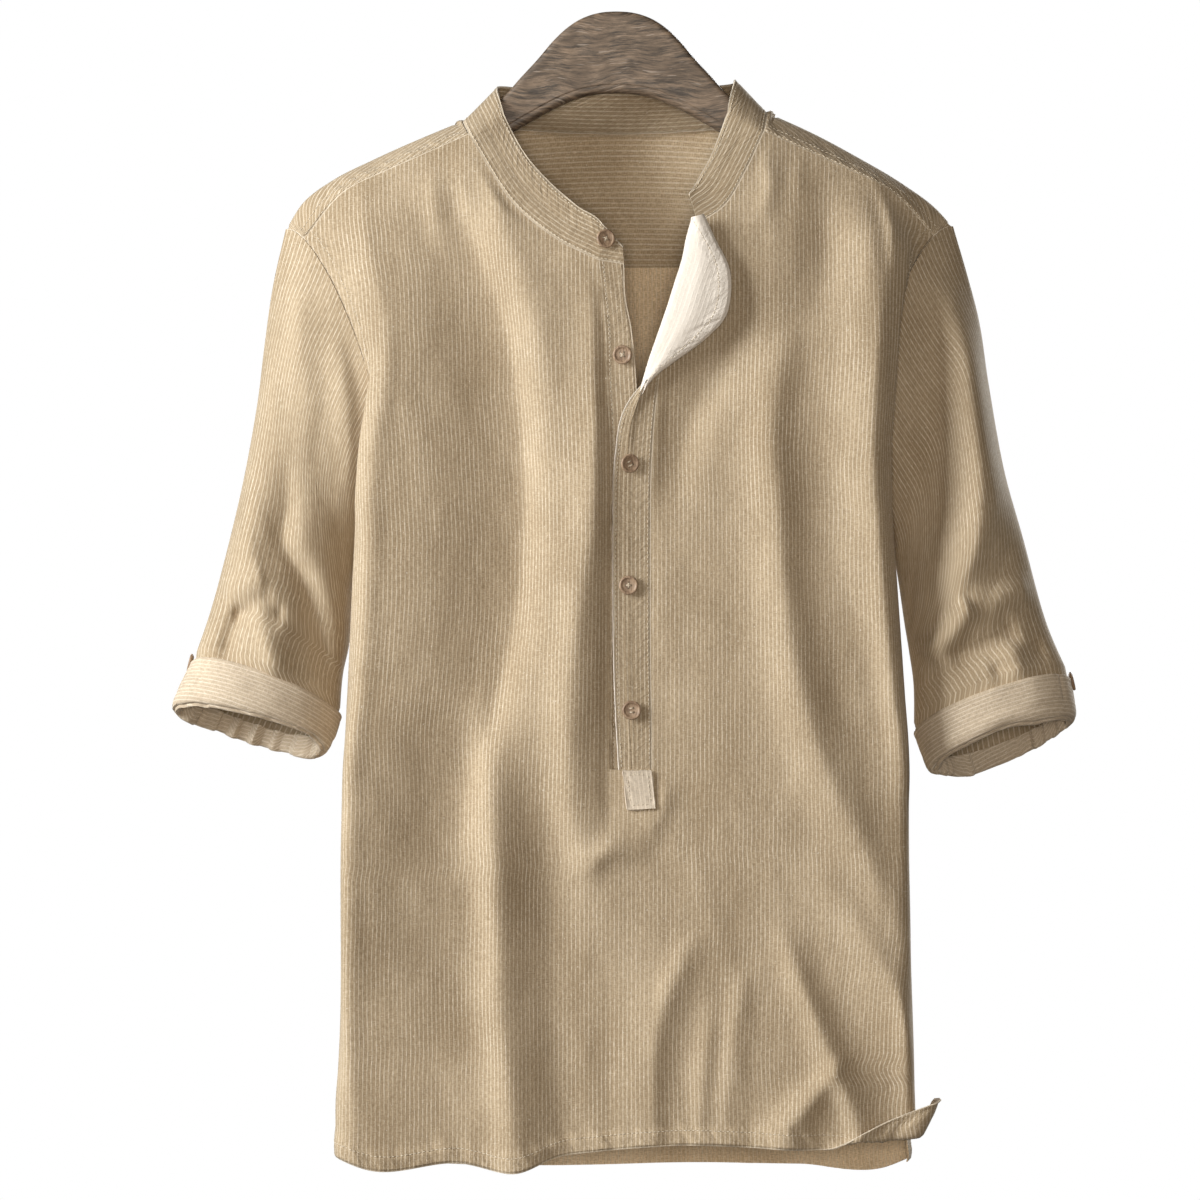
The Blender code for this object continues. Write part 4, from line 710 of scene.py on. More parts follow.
# ---------------------------------------------------------------- sleeves and cuffs
def ring(row, degrees, inwards=0.0):
    """Points round a sleeve or cuff, from a row of its table; inwards shrinks the ring."""
    outer_x, outer_z, inner_x, inner_z, mid_y, depth, rise = row[:7]
    front_in, back_in = row[7:9] if len(row) > 7 else (0, 0)
    degrees = np.asarray(degrees, float)[:, None]
    middle = np.array(((outer_x + inner_x) / 2, mid_y, (outer_z + inner_z) / 2))
    axis = np.array(((outer_x - inner_x) / 2, 0, (outer_z - inner_z) / 2))
    axis = axis * (1 - inwards / np.linalg.norm(axis))
    out = np.sin(np.radians(np.abs(degrees))) * (1 - inwards / depth)
    front = np.array((front_in, -depth, rise))
    rear = np.array((back_in, depth, -rise))
    return middle + np.cos(np.radians(degrees)) * axis + out * np.where(degrees > 0, front, rear)


def away_from_middle(points):
    """Unit directions from the middle of a ring to its points."""
    outwards = points - points.mean(axis=0)
    return outwards / np.linalg.norm(outwards, axis=1)[:, None]


def sleeve_angles():
    """Angles round a sleeve, from the underarm over the front and back again."""
    return np.linspace(180, -180, SLEEVE_COLUMNS, endpoint=False)


def sleeve_grid(side):
    """Rings of a sleeve, the first one on the armhole."""
    angles = sleeve_angles()
    table = np.array(SLEEVE_ROWS[side], float)
    cuff_top, cuff_foot = (np.array(row, float) for row in CUFF_RINGS[side])
    table = np.vstack((table, cuff_top))
    table[-1, 5] -= CUFF_HOLD
    fade = np.clip(1 - np.arange(len(table)) / 2.5, 0, 1)[:, None] ** 1.5
    table = np.hstack((table, fade * np.array(ARMHOLES[side][4:6])))
    knots = np.linspace(0, 1, len(table))
    armhole = armhole_point(side, angles)
    start_ring = ring(table[0], angles)
    rings = []
    for place in np.linspace(0, 1, SLEEVE_RINGS + 1)[:-4]:
        points = ring(smooth(knots, table, place)[0], angles)
        points += (armhole - start_ring) * (1 - min(place / 0.1, 1))
        swell = np.zeros(len(angles))
        for start, start_turn, end, end_turn, half_width, height in SLEEVE_FOLDS:
            share = (place - start) / (end - start)
            taper = math.sin(math.pi * min(max(share, 0), 1)) ** 0.7
            turn = start_turn + (end_turn - start_turn) * share
            aside = (angles - turn + 180) % 360 - 180
            aside = np.radians(aside) * SLEEVE_RADIUS
            swell += height * taper * np.exp(-(aside / half_width) ** 2)
        swell = np.where(angles > 0, FRONT_SHARE, 1.0) * swell
        points = points + away_from_middle(points) * swell[:, None]
        facing = ease(0.15, 0.75, np.sin(np.radians(angles))) * ease(0, 0.08, place)
        x, z = points[:, 0], points[:, 2]
        points[:, 1] -= facing * (path_folds(SLEEVE_PATHS[side], x, z)
                                  + straight_folds(SLEEVE_ARCHES[side], x, z))
        rings.append(points)
    rings = np.array(rings)
    x, z = rings[:, :, 0], rings[:, :, 2]
    loose = ease(0, 6, np.arange(len(rings)))[:, None]
    to_front = np.where(angles > 0, -1, 1) * np.abs(np.sin(np.radians(angles)))
    rings[:, :, 1] += loose * to_front * panel_detail(x, z, 61)
    rings = list(rings)
    for down in CUFF_TUCK:
        rings.append(ring(cuff_top + (cuff_foot - cuff_top) * down, angles, CUFF_HOLD))
    return np.array(rings)


def cuff_grid(side):
    """Rolled cuff: a hooked section carried round the end of the sleeve."""
    top, foot = (np.array(row, float) for row in CUFF_RINGS[side])
    angles = sleeve_angles()
    stretch = (1, CUFF_HEIGHT)
    section = along(np.array(CUFF_SECTION) * stretch, np.linspace(0, 1, CUFF_STEPS)) / stretch
    seed = CUFF_SEED[side]
    level = np.zeros_like(angles)
    uneven = noise(angles / 30 + 20, level, seed)
    back = ease(-0.2, 0.3, -np.sin(np.radians(angles)))
    gathers = np.maximum(noise(angles / CUFF_GATHER + 40, level, seed + 1), -0.2)
    seam = np.exp(-((angles - CUFF_SEAM[side]) / 1.6) ** 2)
    rings = []
    for place, (inwards, down) in zip(np.linspace(0, 1, len(section)), section):
        low, inside = float(ease(0.45, 1.0, down)), float(ease(0.5, 0.62, place))
        outside = float(1 - ease(0.34, 0.44, place))
        drops = down + low * (CUFF_DROP * uneven + CUFF_DROP * back * gathers)
        points = np.array([ring(top + (foot - top) * drop, [angle], inwards)[0]
                           for angle, drop in zip(angles, drops)])
        creases = noise(angles / 15 + 60, level + down * 2, seed + 2)
        swell = outside * (CUFF_SWELL * uneven - CUFF_SWELL * seam + CUFF_CREASES * creases)
        depth = CUFF_FRONT_GATHERS + CUFF_BACK_GATHERS * back
        swell -= inside * depth * np.maximum(gathers, 0)
        rings.append(points + away_from_middle(points) * swell[:, None])
    return np.array(rings)


# ---------------------------------------------------------------- sewing
def raised(grid, seam, run, width, rise, pucker, seed, flip=False):
    """Grid whose doubled edge stands up along its seam and is puckered by its stitching."""
    normals = grid_normals(grid, flip)
    lip = ease(0, 1.4, seam) * (1 - ease(width - 0.7, width + 0.9, seam))
    groove = np.exp(-((seam - width + STITCH_INSET) / 0.9) ** 2)
    slant = run + 0.7 * seam
    waves = 0.65 * noise(slant / 5.0 + 300, seam / 11 + 40, seed)
    waves = waves + 0.35 * noise(slant / 2.6 + 300, seam / 7 + 40, seed + 1)
    close = ease(0, 2, seam) * (1 - ease(width, width * 2.0, seam))
    height = rise * (lip - 0.7 * groove) + pucker * waves * close
    return grid + normals * height[:, :, None]


def crossing(grid, measure, value, axis, flip=False):
    """Line on a grid where a measure first reaches a value along an axis, with its normals."""
    normals = grid_normals(grid, flip)
    if axis == 1:
        grid, normals, measure = (v.swapaxes(0, 1) for v in (grid, normals, measure))
    line = []
    for j in range(grid.shape[1]):
        away = measure[:, j] - value
        change = np.nonzero(away[:-1] * away[1:] <= 0)[0]
        if not len(change):
            continue
        i = change[0]
        share = away[i] / (away[i] - away[i + 1]) if away[i] != away[i + 1] else 0.0
        line.append(np.concatenate([v[i, j] * (1 - share) + v[i + 1, j] * share
                                    for v in (grid, normals)]))
    return np.array(line)


def edge_line(grid, row=None, column=None):
    """A row or column of a grid with its normals."""
    both = np.concatenate((grid, grid_normals(grid)), axis=2)
    return both[row] if row is not None else both[:, column]


def stitches(name, lines):
    """Rows of short raised stitches along lines of points with normals."""
    points, faces = [], []
    around = np.arange(4) * math.pi / 2
    template = [(4 * level + i, 4 * level + (i + 1) % 4, 4 * level + 4 + (i + 1) % 4,
                 4 * level + 4 + i) for level in (0, 1) for i in range(4)]
    template = np.array(template + [(3, 2, 1, 0), (8, 9, 10, 11)])
    for line in lines:
        steps = np.linalg.norm(np.diff(line[:, :3], axis=0), axis=1)
        run = np.concatenate(([0.0], np.cumsum(steps)))
        starts = np.arange(0.5, run[-1] - STITCH_PITCH, STITCH_PITCH)
        for start in starts:
            rings = []
            for share, size, rise in STITCH_SHAPE:
                at = start + STITCH_LENGTH * share
                place = np.array([np.interp(at, run, line[:, k]) for k in range(6)])
                ahead = np.array([np.interp(at + 0.5, run, line[:, k]) for k in range(3)])
                normal = place[3:] / np.linalg.norm(place[3:])
                side = np.cross(ahead - place[:3], normal)
                side /= max(np.linalg.norm(side), 1e-6)
                middle = place[:3] + normal * (STITCH_LIFT + rise)
                rings += [middle + (side * math.cos(a) + normal * math.sin(a)) * STITCH_RADIUS
                          * size for a in around]
            faces.append(template + len(points))
            points += rings
    mesh = bpy.data.meshes.new(name)
    mesh.from_pydata((np.array(points) * MM).tolist(), [], np.concatenate(faces).tolist())
    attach(add_object(name, mesh, (SEAM_THREAD_MAT,)), "root")


# ---------------------------------------------------------------- meshes
def add_object(name, mesh, materials=(), sharp=None):
    """Smooth object of a mesh; sharp is the angle above which its edges stay sharp."""
    for material in materials:
        mesh.materials.append(material)
    mesh.shade_smooth()
    if sharp:
        mesh.set_sharp_from_angle(angle=math.radians(sharp))
    made = bpy.data.objects.new(name, mesh)
    bpy.context.scene.collection.objects.link(made)
    return made


def round_tube(grid):
    """Distance round each ring of a tube, ending with the step that closes it."""
    return distances(np.concatenate((grid, grid[:, :1]), axis=1), 1)


def grid_normals(grid, flip=False, closed=False):
    """Outward unit normals of a grid."""
    if closed:
        around = np.roll(grid, -1, axis=1) - np.roll(grid, 1, axis=1)
    else:
        around = np.gradient(grid, axis=1)
    normals = np.cross(np.gradient(grid, axis=0), around)
    normals /= np.maximum(np.linalg.norm(normals, axis=2), 1e-9)[:, :, None]
    return -normals if flip else normals


def shell(name, grid, wall, uv, materials, closed=False, flip=False, hole=None, seam=None):
    """Thin closed wall on a grid of outer points; uv and seam run with the points, in mm."""
    rows, columns = grid.shape[:2]
    normals = grid_normals(grid, flip, closed)
    inner = grid - normals * np.asarray(wall)[..., None]
    quads = []
    for i in range(rows - 1):
        for j in range(columns if closed else columns - 1):
            if hole and hole(i, j):
                continue
            after = (j + 1) % columns
            quads.append((i * columns + j, (i + 1) * columns + j,
                          (i + 1) * columns + after, i * columns + after))
    quads = np.array(quads)
    if flip:
        quads = quads[:, ::-1]
    count = rows * columns
    starts, ends = quads.ravel(), np.roll(quads, -1, axis=1).ravel()
    edges = set(zip(starts.tolist(), ends.tolist()))
    rims = np.array([(b, a, a + count, b + count) for a, b in edges if (b, a) not in edges])
    rims = rims[np.lexsort((rims[:, 1], rims[:, 0]))]
    faces = np.concatenate((quads, quads[:, ::-1] + count, rims))
    points = np.concatenate((grid.reshape(-1, 3), inner.reshape(-1, 3)))
    used = np.zeros(len(points), bool)
    used[faces.ravel()] = True
    place = np.cumsum(used) - 1
    faces = place[faces]
    mesh = bpy.data.meshes.new(name)
    mesh.from_pydata((points[used] * MM).tolist(), [], faces.tolist())
    layer = mesh.uv_layers.new(name="weave")
    flat_uv = np.concatenate((uv.reshape(-1, 2),) * 2)[used] * MM
    loops = faces.ravel()
    wrapped = flat_uv[loops].reshape(-1, 4, 2)
    if closed:
        # A face across the joint of a tube takes its far corners from beyond the joint.
        around = round_tube(grid)[:, -1].mean() * MM
        for axis in (0, 1):
            far = wrapped[:, :, axis].max(axis=1) - wrapped[:, :, axis].min(axis=1) > around / 2
            low = wrapped[:, :, axis] < wrapped[:, :, axis].mean(axis=1)[:, None]
            wrapped[:, :, axis] += around * (far[:, None] & low)
    layer.data.foreach_set("uv", wrapped.ravel())
    for label, values in zip(("seam", "run"), seam or ()):
        spread = mesh.attributes.new(label, "FLOAT", "POINT")
        both = np.concatenate((values.ravel(), values.ravel()))[used] * MM
        spread.data.foreach_set("value", both.astype(np.float32))
    for material in materials:
        mesh.materials.append(material)
    if len(materials) > 1:
        indices = np.zeros(len(faces), np.int32)
        indices[len(quads):] = 1
        mesh.polygons.foreach_set("material_index", indices)
    return add_object(name, mesh, sharp=CLOTH_SHARP)


# ---------------------------------------------------------------- materials
class Nodes:
    """Short calls for building a node tree."""

    def __init__(self, name):
        self.material = bpy.data.materials.new(name)
        self.material.use_nodes = True
        self.tree = self.material.node_tree
        self.shader = self.tree.nodes["Principled BSDF"]

    def add(self, kind, inputs=(), **settings):
        """New node with its settings, and its inputs linked or set."""
        node = self.tree.nodes.new(kind)
        for key, value in settings.items():
            setattr(node, key, value)
        for key, value in dict(inputs).items():
            if isinstance(value, bpy.types.NodeSocket):
                self.tree.links.new(value, node.inputs[key])
            else:
                node.inputs[key].default_value = value
        return node

    def math(self, operation, a, b=0.0):
        """Math node's output."""
        return self.add("ShaderNodeMath", {0: a, 1: b}, operation=operation).outputs[0]

    def plus(self, a, b):
        """Sum."""
        return self.math("ADD", a, b)

    def times(self, a, b):
        """Product."""
        return self.math("MULTIPLY", a, b)

    def ramp(self, value, low, high, to_low=0.0, to_high=1.0):
        """Smooth change of a value from one range to another."""
        inputs = {"Value": value, "From Min": low, "From Max": high, "To Min": to_low,
                  "To Max": to_high}
        return self.add("ShaderNodeMapRange", inputs, interpolation_type="SMOOTHSTEP").outputs[0]

    def noise(self, vector, x, y, z=1.0, detail=2.0, rough=0.5):
        """Noise texture's value, with so many waves to the metre along each axis."""
        scaled = self.add("ShaderNodeVectorMath", {0: vector, 1: (x, y, z)}, operation="MULTIPLY")
        inputs = {"Vector": scaled.outputs[0], "Scale": 1.0, "Detail": detail, "Roughness": rough}
        return self.add("ShaderNodeTexNoise", inputs).outputs["Fac"]

    def attribute(self, name):
        """Value of a mesh attribute."""
        return self.add("ShaderNodeAttribute", attribute_name=name).outputs["Fac"]

    def bump(self, height, distance, strength, **below):
        """Bumped normal, over another one if it is given as Normal."""
        inputs = {"Height": height, "Distance": distance * MM, "Strength": strength, **below}
        return self.add("ShaderNodeBump", inputs).outputs[0]

    def mix(self, share, a, b):
        """Colour mix."""
        return self.add("ShaderNodeMix", {0: share, 6: a, 7: b}, data_type="RGBA").outputs[2]

    def give(self, **inputs):
        """Links or sets the shader's inputs, whose names have no spaces here."""
        for name, value in inputs.items():
            socket = self.shader.inputs[name.replace("_", " ")]
            if isinstance(value, bpy.types.NodeSocket):
                self.tree.links.new(value, socket)
            else:
                socket.default_value = value
        return self.material


STRIPE_PITCH = 2.9 * MM
STRIPE_WOBBLE = 0.0010
STRIPES = 0.64            # strength of each layer of the linen
CLOUDS = 0.34
FLECKS = 0.40
SLUBS = 0.25
CRINKLES = 2.5
GROUND_DARK = (0.272, 0.196, 0.115, 1)
GROUND_LIGHT = (0.480, 0.372, 0.247, 1)
STRIPE_COLOUR = (0.74, 0.64, 0.50, 1)
SPECK_COLOUR = (0.86, 0.79, 0.68, 1)
# Pale reverse of the linen; on the flap it is also a painted highlight.
REVERSE_PALE_AND_LIT_COLOUR = (0.84, 0.79, 0.73, 1)
EDGE_HIGHLIGHT_COLOUR = (0.80, 0.71, 0.58, 1)
WOOD_DARK = (0.028, 0.019, 0.012, 1)
WOOD_LIGHT = (0.265, 0.182, 0.118, 1)
WOOD_WORN = (0.118, 0.083, 0.056, 1)
WOOD_SCRATCH = (0.42, 0.34, 0.27, 1)
BUTTON_DARK = (0.195, 0.120, 0.070, 1)
BUTTON_LIGHT = (0.36, 0.245, 0.155, 1)


def cloth_material(name, ground=1.0, stripe=1.0, pitch=STRIPE_PITCH, pale=0.0, thin=1.0,
                   edge=0.0):
    """Slubby linen with pale pinstripes along V of the weave's coordinates, in metres."""
    n = Nodes(name)
    uv = n.add("ShaderNodeUVMap", uv_map="weave").outputs[0]
    u = n.add("ShaderNodeSeparateXYZ", {0: uv}).outputs[0]

    # Pinstripes: wavering, broken and here and there faded.
    wobble = n.times(n.math("SUBTRACT", n.noise(uv, 240, 45), 0.5), STRIPE_WOBBLE)
    place = n.math("FRACT", n.math("DIVIDE", n.plus(u, wobble), pitch))
    away = n.math("ABSOLUTE", n.math("SUBTRACT", place, 0.5))
    line = n.ramp(away, 0.05, 0.05 + 0.17 * thin, 1.0, 0.0)
    broken = n.ramp(n.noise(uv, 420, 300, detail=3.0, rough=0.6), 0.34, 0.66, 0.35, 1.0)
    faded = n.ramp(n.noise(uv, 60, 22), 0.35, 0.65, 0.55, 1.0)
    line = n.times(n.times(line, broken), faded)
    beside = n.times(n.ramp(away, 0.17, 0.30), n.ramp(away, 0.32, 0.48, 1.0, 0.2))

    # Ground: warp and weft threads, under soft clouds.
    warp = n.noise(uv, 2300, 260, rough=0.6)
    weft = n.noise(uv, 330, 2100, rough=0.6)
    thread = n.plus(n.times(warp, 0.5), n.times(weft, 0.5))
    cloud = n.noise(uv, 22, 12, detail=3.0, rough=0.55)
    tone = n.plus(thread, n.times(n.math("SUBTRACT", cloud, 0.5), CLOUDS))
    tone = n.math("SUBTRACT", tone, n.times(beside, 0.05))
    dark, light = (tuple(c * ground for c in shade[:3]) + (1,)
                   for shade in (GROUND_DARK, GROUND_LIGHT))
    colour = n.mix(n.ramp(tone, 0.34, 0.66), dark, light)
    colour = n.mix(n.times(line, STRIPES * stripe), colour, STRIPE_COLOUR)

    # Flecks, slubs, a pale reverse that on the flap also serves as a painted highlight, and a
    # painted highlight along seamed edges.
    fleck = n.ramp(n.noise(uv, 900, 520, detail=1.0), 0.70, 0.76)
    colour = n.mix(n.times(fleck, FLECKS), colour, SPECK_COLOUR)
    slub = n.ramp(n.noise(uv, 110, 1400, detail=1.0), 0.66, 0.74)
    colour = n.mix(n.times(slub, SLUBS), colour, STRIPE_COLOUR)
    # Paleness of the reverse; on the flap, with its brighter ground, it is painted highlight as
    # well.
    colour = n.mix(pale, colour, REVERSE_PALE_AND_LIT_COLOUR)
    seam, run = n.attribute("seam"), n.attribute("run")
    # Painted highlight: a pale line within about a millimetre of a seamed edge, as strong as the
    # edge argument.
    colour = n.mix(n.ramp(seam, 0.0002, 0.0012, edge, 0.0), colour, EDGE_HIGHLIGHT_COLOUR)

    # Relief: weave and crinkles, and small gathers that slant away from the seams.
    height = n.plus(n.times(line, 0.45), n.times(thread, 0.9))
    height = n.plus(height, n.times(n.noise(uv, 120, 80, detail=3.0, rough=0.6), CRINKLES))
    weave = n.bump(height, 0.25, 0.8)
    close = n.times(n.ramp(seam, 0.0005, 0.002), n.ramp(seam, 0.008, 0.018, 1.0, 0.0))
    slanted = n.add("ShaderNodeCombineXYZ", {0: n.plus(run, n.times(seam, 0.7)), 1: seam})
    gather = n.noise(slanted.outputs[0], 260, 80)
    pucker = n.bump(n.times(gather, close), 1.1, 0.8, Normal=weave)
    return n.give(Base_Color=colour, Normal=pucker, Roughness=0.9, Specular_IOR_Level=0.2,
                  Sheen_Weight=0.12, Sheen_Roughness=0.5, Sheen_Tint=(1.0, 0.96, 0.9, 1))


def wood_material(name):
    """Weathered grey-brown wood with dark and worn streaks."""
    n = Nodes(name)
    where = n.add("ShaderNodeTexCoord").outputs["Object"]
    bend = n.add("ShaderNodeCombineXYZ", {2: n.times(n.noise(where, 14, 14, 14), 0.03)})
    bent = n.add("ShaderNodeVectorMath", {0: where, 1: bend.outputs[0]}, operation="ADD")
    bent = bent.outputs[0]
    grain = n.noise(bent, 45, 45, 420, detail=5.0, rough=0.7)
    fine = n.noise(bent, 130, 130, 1500, detail=3.0, rough=0.7)
    wear = n.noise(where, 55, 55, 80, detail=4.0, rough=0.65)
    tone = n.plus(n.times(grain, 0.6), n.times(fine, 0.4))
    colour = n.mix(n.ramp(tone, 0.36, 0.66), WOOD_DARK, WOOD_LIGHT)
    colour = n.mix(n.times(n.ramp(wear, 0.42, 0.66), 0.55), colour, WOOD_WORN)
    scratch = n.ramp(n.noise(bent, 60, 60, 900, detail=1.0), 0.68, 0.74)
    colour = n.mix(n.times(scratch, 0.5), colour, WOOD_SCRATCH)
    return n.give(Base_Color=colour, Normal=n.bump(n.plus(tone, n.times(wear, 0.5)), 0.5, 0.7),
                  Roughness=n.ramp(wear, 0.3, 0.7, 0.42, 0.68))


def button_material(name):
    """Satin brown button with faint rings and streaks."""
    n = Nodes(name)
    where = n.add("ShaderNodeTexCoord").outputs["Object"]
    streak = n.noise(where, 900, 900, 260, detail=3.0, rough=0.6)
    colour = n.mix(n.ramp(streak, 0.35, 0.65), BUTTON_DARK, BUTTON_LIGHT)
    return n.give(Base_Color=colour, Normal=n.bump(streak, 0.06, 0.5), Roughness=0.5)


def thread_material(name, dark, light):
    """Sewing thread."""
    n = Nodes(name)
    where = n.add("ShaderNodeTexCoord").outputs["Object"]
    ply = n.noise(where, 3000, 3000, 3000, detail=1.0)
    return n.give(Base_Color=n.mix(ply, dark, light), Roughness=0.8)


CLOTH_MAT = cloth_material("linen", edge=0.35)
YOKE_MAT = cloth_material("linen_yoke", pitch=3.6 * MM, stripe=1.1, edge=0.4)
SLEEVE_MAT = cloth_material("linen_sleeve", pitch=3.8 * MM, stripe=1.25, thin=0.6)
# The back's inner face has a doubled ground: painted light on cloth that lies in shade behind the
# front.
INSIDE_PAINTED_LIGHT_MAT = cloth_material("linen_inside_painted_light", ground=2.1)
# The yoke's inner face has a brighter ground: painted light where it lies in shade inside the
# neck.
YOKE_INSIDE_PAINTED_LIGHT_MAT = cloth_material("linen_yoke_inside_painted_light", ground=1.32, pitch=3.6 * MM, stripe=1.1)
BAND_MAT = cloth_material("linen_band", stripe=0.9, ground=0.90, edge=0.42)
# The flap's reverse: a paler reverse, and a brighter ground and stronger paleness as a painted
# highlight where it faces the key lamp.
FLAP_PAINTED_LIGHT_MAT = cloth_material("linen_reverse_painted_light", ground=1.3, stripe=0.9, pale=0.62)
PATCH_MAT = cloth_material("linen_patch", ground=1.12, stripe=0.6, pale=0.25)
CUFF_MAT = cloth_material("linen_cuff", ground=1.15, stripe=1.1, pitch=2.6 * MM, pale=0.14)
WOOD_MAT = wood_material("weathered_wood")
BUTTON_MAT = button_material("brown_button")
THREAD_MAT = thread_material("thread", (0.42, 0.33, 0.22, 1), (0.72, 0.62, 0.48, 1))
SEAM_THREAD_MAT = thread_material("seam_thread", (0.50, 0.41, 0.29, 1), (0.76, 0.68, 0.55, 1))


# ---------------------------------------------------------------- hanger and buttons
HANGER_TOP = ((0, 0), (12, -1), (24, -5), (34, -11.5), (42, -19), (54, -33), (66, -46),
              (73, -54), (82, -63), (92, -72), (104, -81), (135, -92.5), (166, -105.5),
              (190, -118), (202, -128))
HANGER_UNDERSIDE = ((207, -136), (204, -146), (194, -151), (180, -148), (140, -126),
                    (100, -102), (72, -83), (54, -72.5), (37, -63.5), (20, -57.5), (0, -55.5))
HANGER_STEPS = 420
# Section of half the board: inwards from its outline, and out from its middle.
BEADED_EDGE = ((0, 0), (0.05, 2.5), (0.5, 4.2), (1.6, 5.7), (3.2, 6.4), (4.6, 6.55), (5.4, 6.5),
               (5.9, 6.95), (6.6, 7.0))
PLAIN_EDGE = ((0, 0), (0.05, 2.8), (0.35, 4.6), (1.0, 5.9), (2.0, 6.6), (3.2, 6.9), (4.2, 6.98),
              (5.2, 7.0), (6.4, 7.0))


def make_hanger():
    """Board of the hanger with eased edges and a beaded rim along its underside."""
    half = np.array(HANGER_TOP + HANGER_UNDERSIDE, float)
    outline = np.concatenate((half, (half * (-1, 1))[-2:0:-1]))
    looped = np.concatenate((outline[-3:], outline, outline[:4]))
    steps = np.concatenate(([0], np.cumsum(np.linalg.norm(np.diff(looped, axis=0), axis=1))))
    at = np.linspace(steps[3], steps[len(outline) + 3], HANGER_STEPS + 1)[:-1]
    path = smooth(steps, looped, at)
    tangent = np.roll(path, -1, axis=0) - np.roll(path, 1, axis=0)
    tangent /= np.linalg.norm(tangent, axis=1)[:, None]
    inwards = np.stack((tangent[:, 1], -tangent[:, 0]), axis=1)
    under = ease(-0.2, 0.5, inwards[:, 1])[:, None]
    rings = []
    for (under_in, under_out), (plain_in, plain_out) in zip(BEADED_EDGE, PLAIN_EDGE):
        inset = under * under_in + (1 - under) * plain_in
        out = under * under_out + (1 - under) * plain_out
        flat = path + inwards * inset
        rings.append(np.column_stack((flat[:, 0], -out[:, 0], flat[:, 1])))
    rings = rings[::-1] + [r * (1, -1, 1) for r in rings[1:]]
    shape = bmesh.new()
    verts = [[shape.verts.new(p * MM) for p in r] for r in rings]
    for upper, lower in zip(verts, verts[1:]):
        for j in range(HANGER_STEPS):
            after = (j + 1) % HANGER_STEPS
            shape.faces.new((upper[j], lower[j], lower[after], upper[after]))
    caps = [shape.faces.new(verts[0]), shape.faces.new(verts[-1][::-1])]
    bmesh.ops.triangulate(shape, faces=caps, quad_method="BEAUTY", ngon_method="BEAUTY")
    bmesh.ops.recalc_face_normals(shape, faces=shape.faces[:])
    made = add_object("hanger_board", mesh_of(shape, "hanger_board"), (WOOD_MAT,),
                      sharp=WOOD_SHARP)
    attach(made, "root")
    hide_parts("hanger")


BUTTON_PROFILE = (        # radius and height
    (0, 0), (4.6, 0.0), (5.6, 0.35), (6.3, 0.95), (6.5, 1.55), (6.35, 2.1), (5.9, 2.5),
    (5.3, 2.55), (4.8, 2.3), (4.45, 1.95), (3.9, 1.78), (2.0, 1.72), (0, 1.72),
)
HOLE_RADIUS = 0.75
HOLE_PLACE = 1.35         # from the button's middle, both ways
THREAD_RADIUS = 0.24
THREAD_RISE = 0.75
THREAD_BASE = 1.45        # above the button's back
THREAD_SHIFT = 0.22       # of each of two threads side by side
BUTTONS = (               # node, direction that it faces, turn, and crossed threads
    ("button_band", (0, -1, 0), 20, True), ("button_1", (0, -1, 0), 8, True),
    ("button_2", (0, -1, 0), 30, False), ("button_3", (0, -1, 0), 45, True),
    ("button_4", (0, -1, 0), 3, False), ("button_cuff_left", (-1, 0, 0), 0, True),
    ("button_cuff_right", (1, 0, 0), 0, True),
)


def mesh_of(shape, name):
    """Mesh of a finished bmesh."""
    mesh = bpy.data.meshes.new(name)
    shape.to_mesh(mesh)
    shape.free()
    return mesh


def button_mesh():
    """Button with a raised rim and four real holes, its back at z 0, in metres."""
    shape = bmesh.new()
    profile = [shape.verts.new((r * MM, 0, h * MM)) for r, h in BUTTON_PROFILE]
    edges = [shape.edges.new(pair) for pair in zip(profile, profile[1:])]
    bmesh.ops.spin(shape, geom=profile + edges, axis=(0, 0, 1), cent=(0, 0, 0), steps=40,
                   angle=2 * math.pi)
    bmesh.ops.remove_doubles(shape, verts=shape.verts[:], dist=1e-6)
    bmesh.ops.recalc_face_normals(shape, faces=shape.faces[:])
    blank = add_object("button_blank", mesh_of(shape, "button_blank"))
    drill_shape = bmesh.new()
    for x in (-HOLE_PLACE, HOLE_PLACE):
        for y in (-HOLE_PLACE, HOLE_PLACE):
            made = bmesh.ops.create_cone(drill_shape, cap_ends=True, segments=14,
                                         radius1=HOLE_RADIUS * MM, radius2=HOLE_RADIUS * MM,
                                         depth=6 * MM)
            bmesh.ops.translate(drill_shape, verts=made["verts"], vec=(x * MM, y * MM, 0))
    drill = add_object("drill", mesh_of(drill_shape, "drill"))
    cut = blank.modifiers.new("holes", "BOOLEAN")
    cut.operation = "DIFFERENCE"
    cut.object = drill
    cut.solver = "EXACT"
    bpy.context.view_layer.update()
    evaluated = blank.evaluated_get(bpy.context.evaluated_depsgraph_get())
    result = bpy.data.meshes.new_from_object(evaluated)
    for spare in (blank, drill):
        bpy.data.objects.remove(spare, do_unlink=True)
    return result


def thread_tube(shape, start, end, rise):
    """Short bowed tube of thread between two points."""
    run = end - start
    side = np.cross(run, rise)
    side /= np.linalg.norm(side)
    up = rise / np.linalg.norm(rise)
    rings = []
    for share, size in ((0, 0.5), (0.18, 1), (0.5, 1), (0.82, 1), (1, 0.5)):
        middle = start + run * share + rise * math.sin(math.pi * share)
        rings.append([shape.verts.new((middle + (side * math.cos(a) + up * math.sin(a))
                                       * THREAD_RADIUS * size) * MM)
                      for a in (math.pi * corner / 3 for corner in range(6))])
    for upper, lower in zip(rings, rings[1:]):
        for j in range(6):
            shape.faces.new((upper[j], upper[(j + 1) % 6], lower[(j + 1) % 6], lower[j]))
    shape.faces.new(rings[0][::-1])
    shape.faces.new(rings[-1])


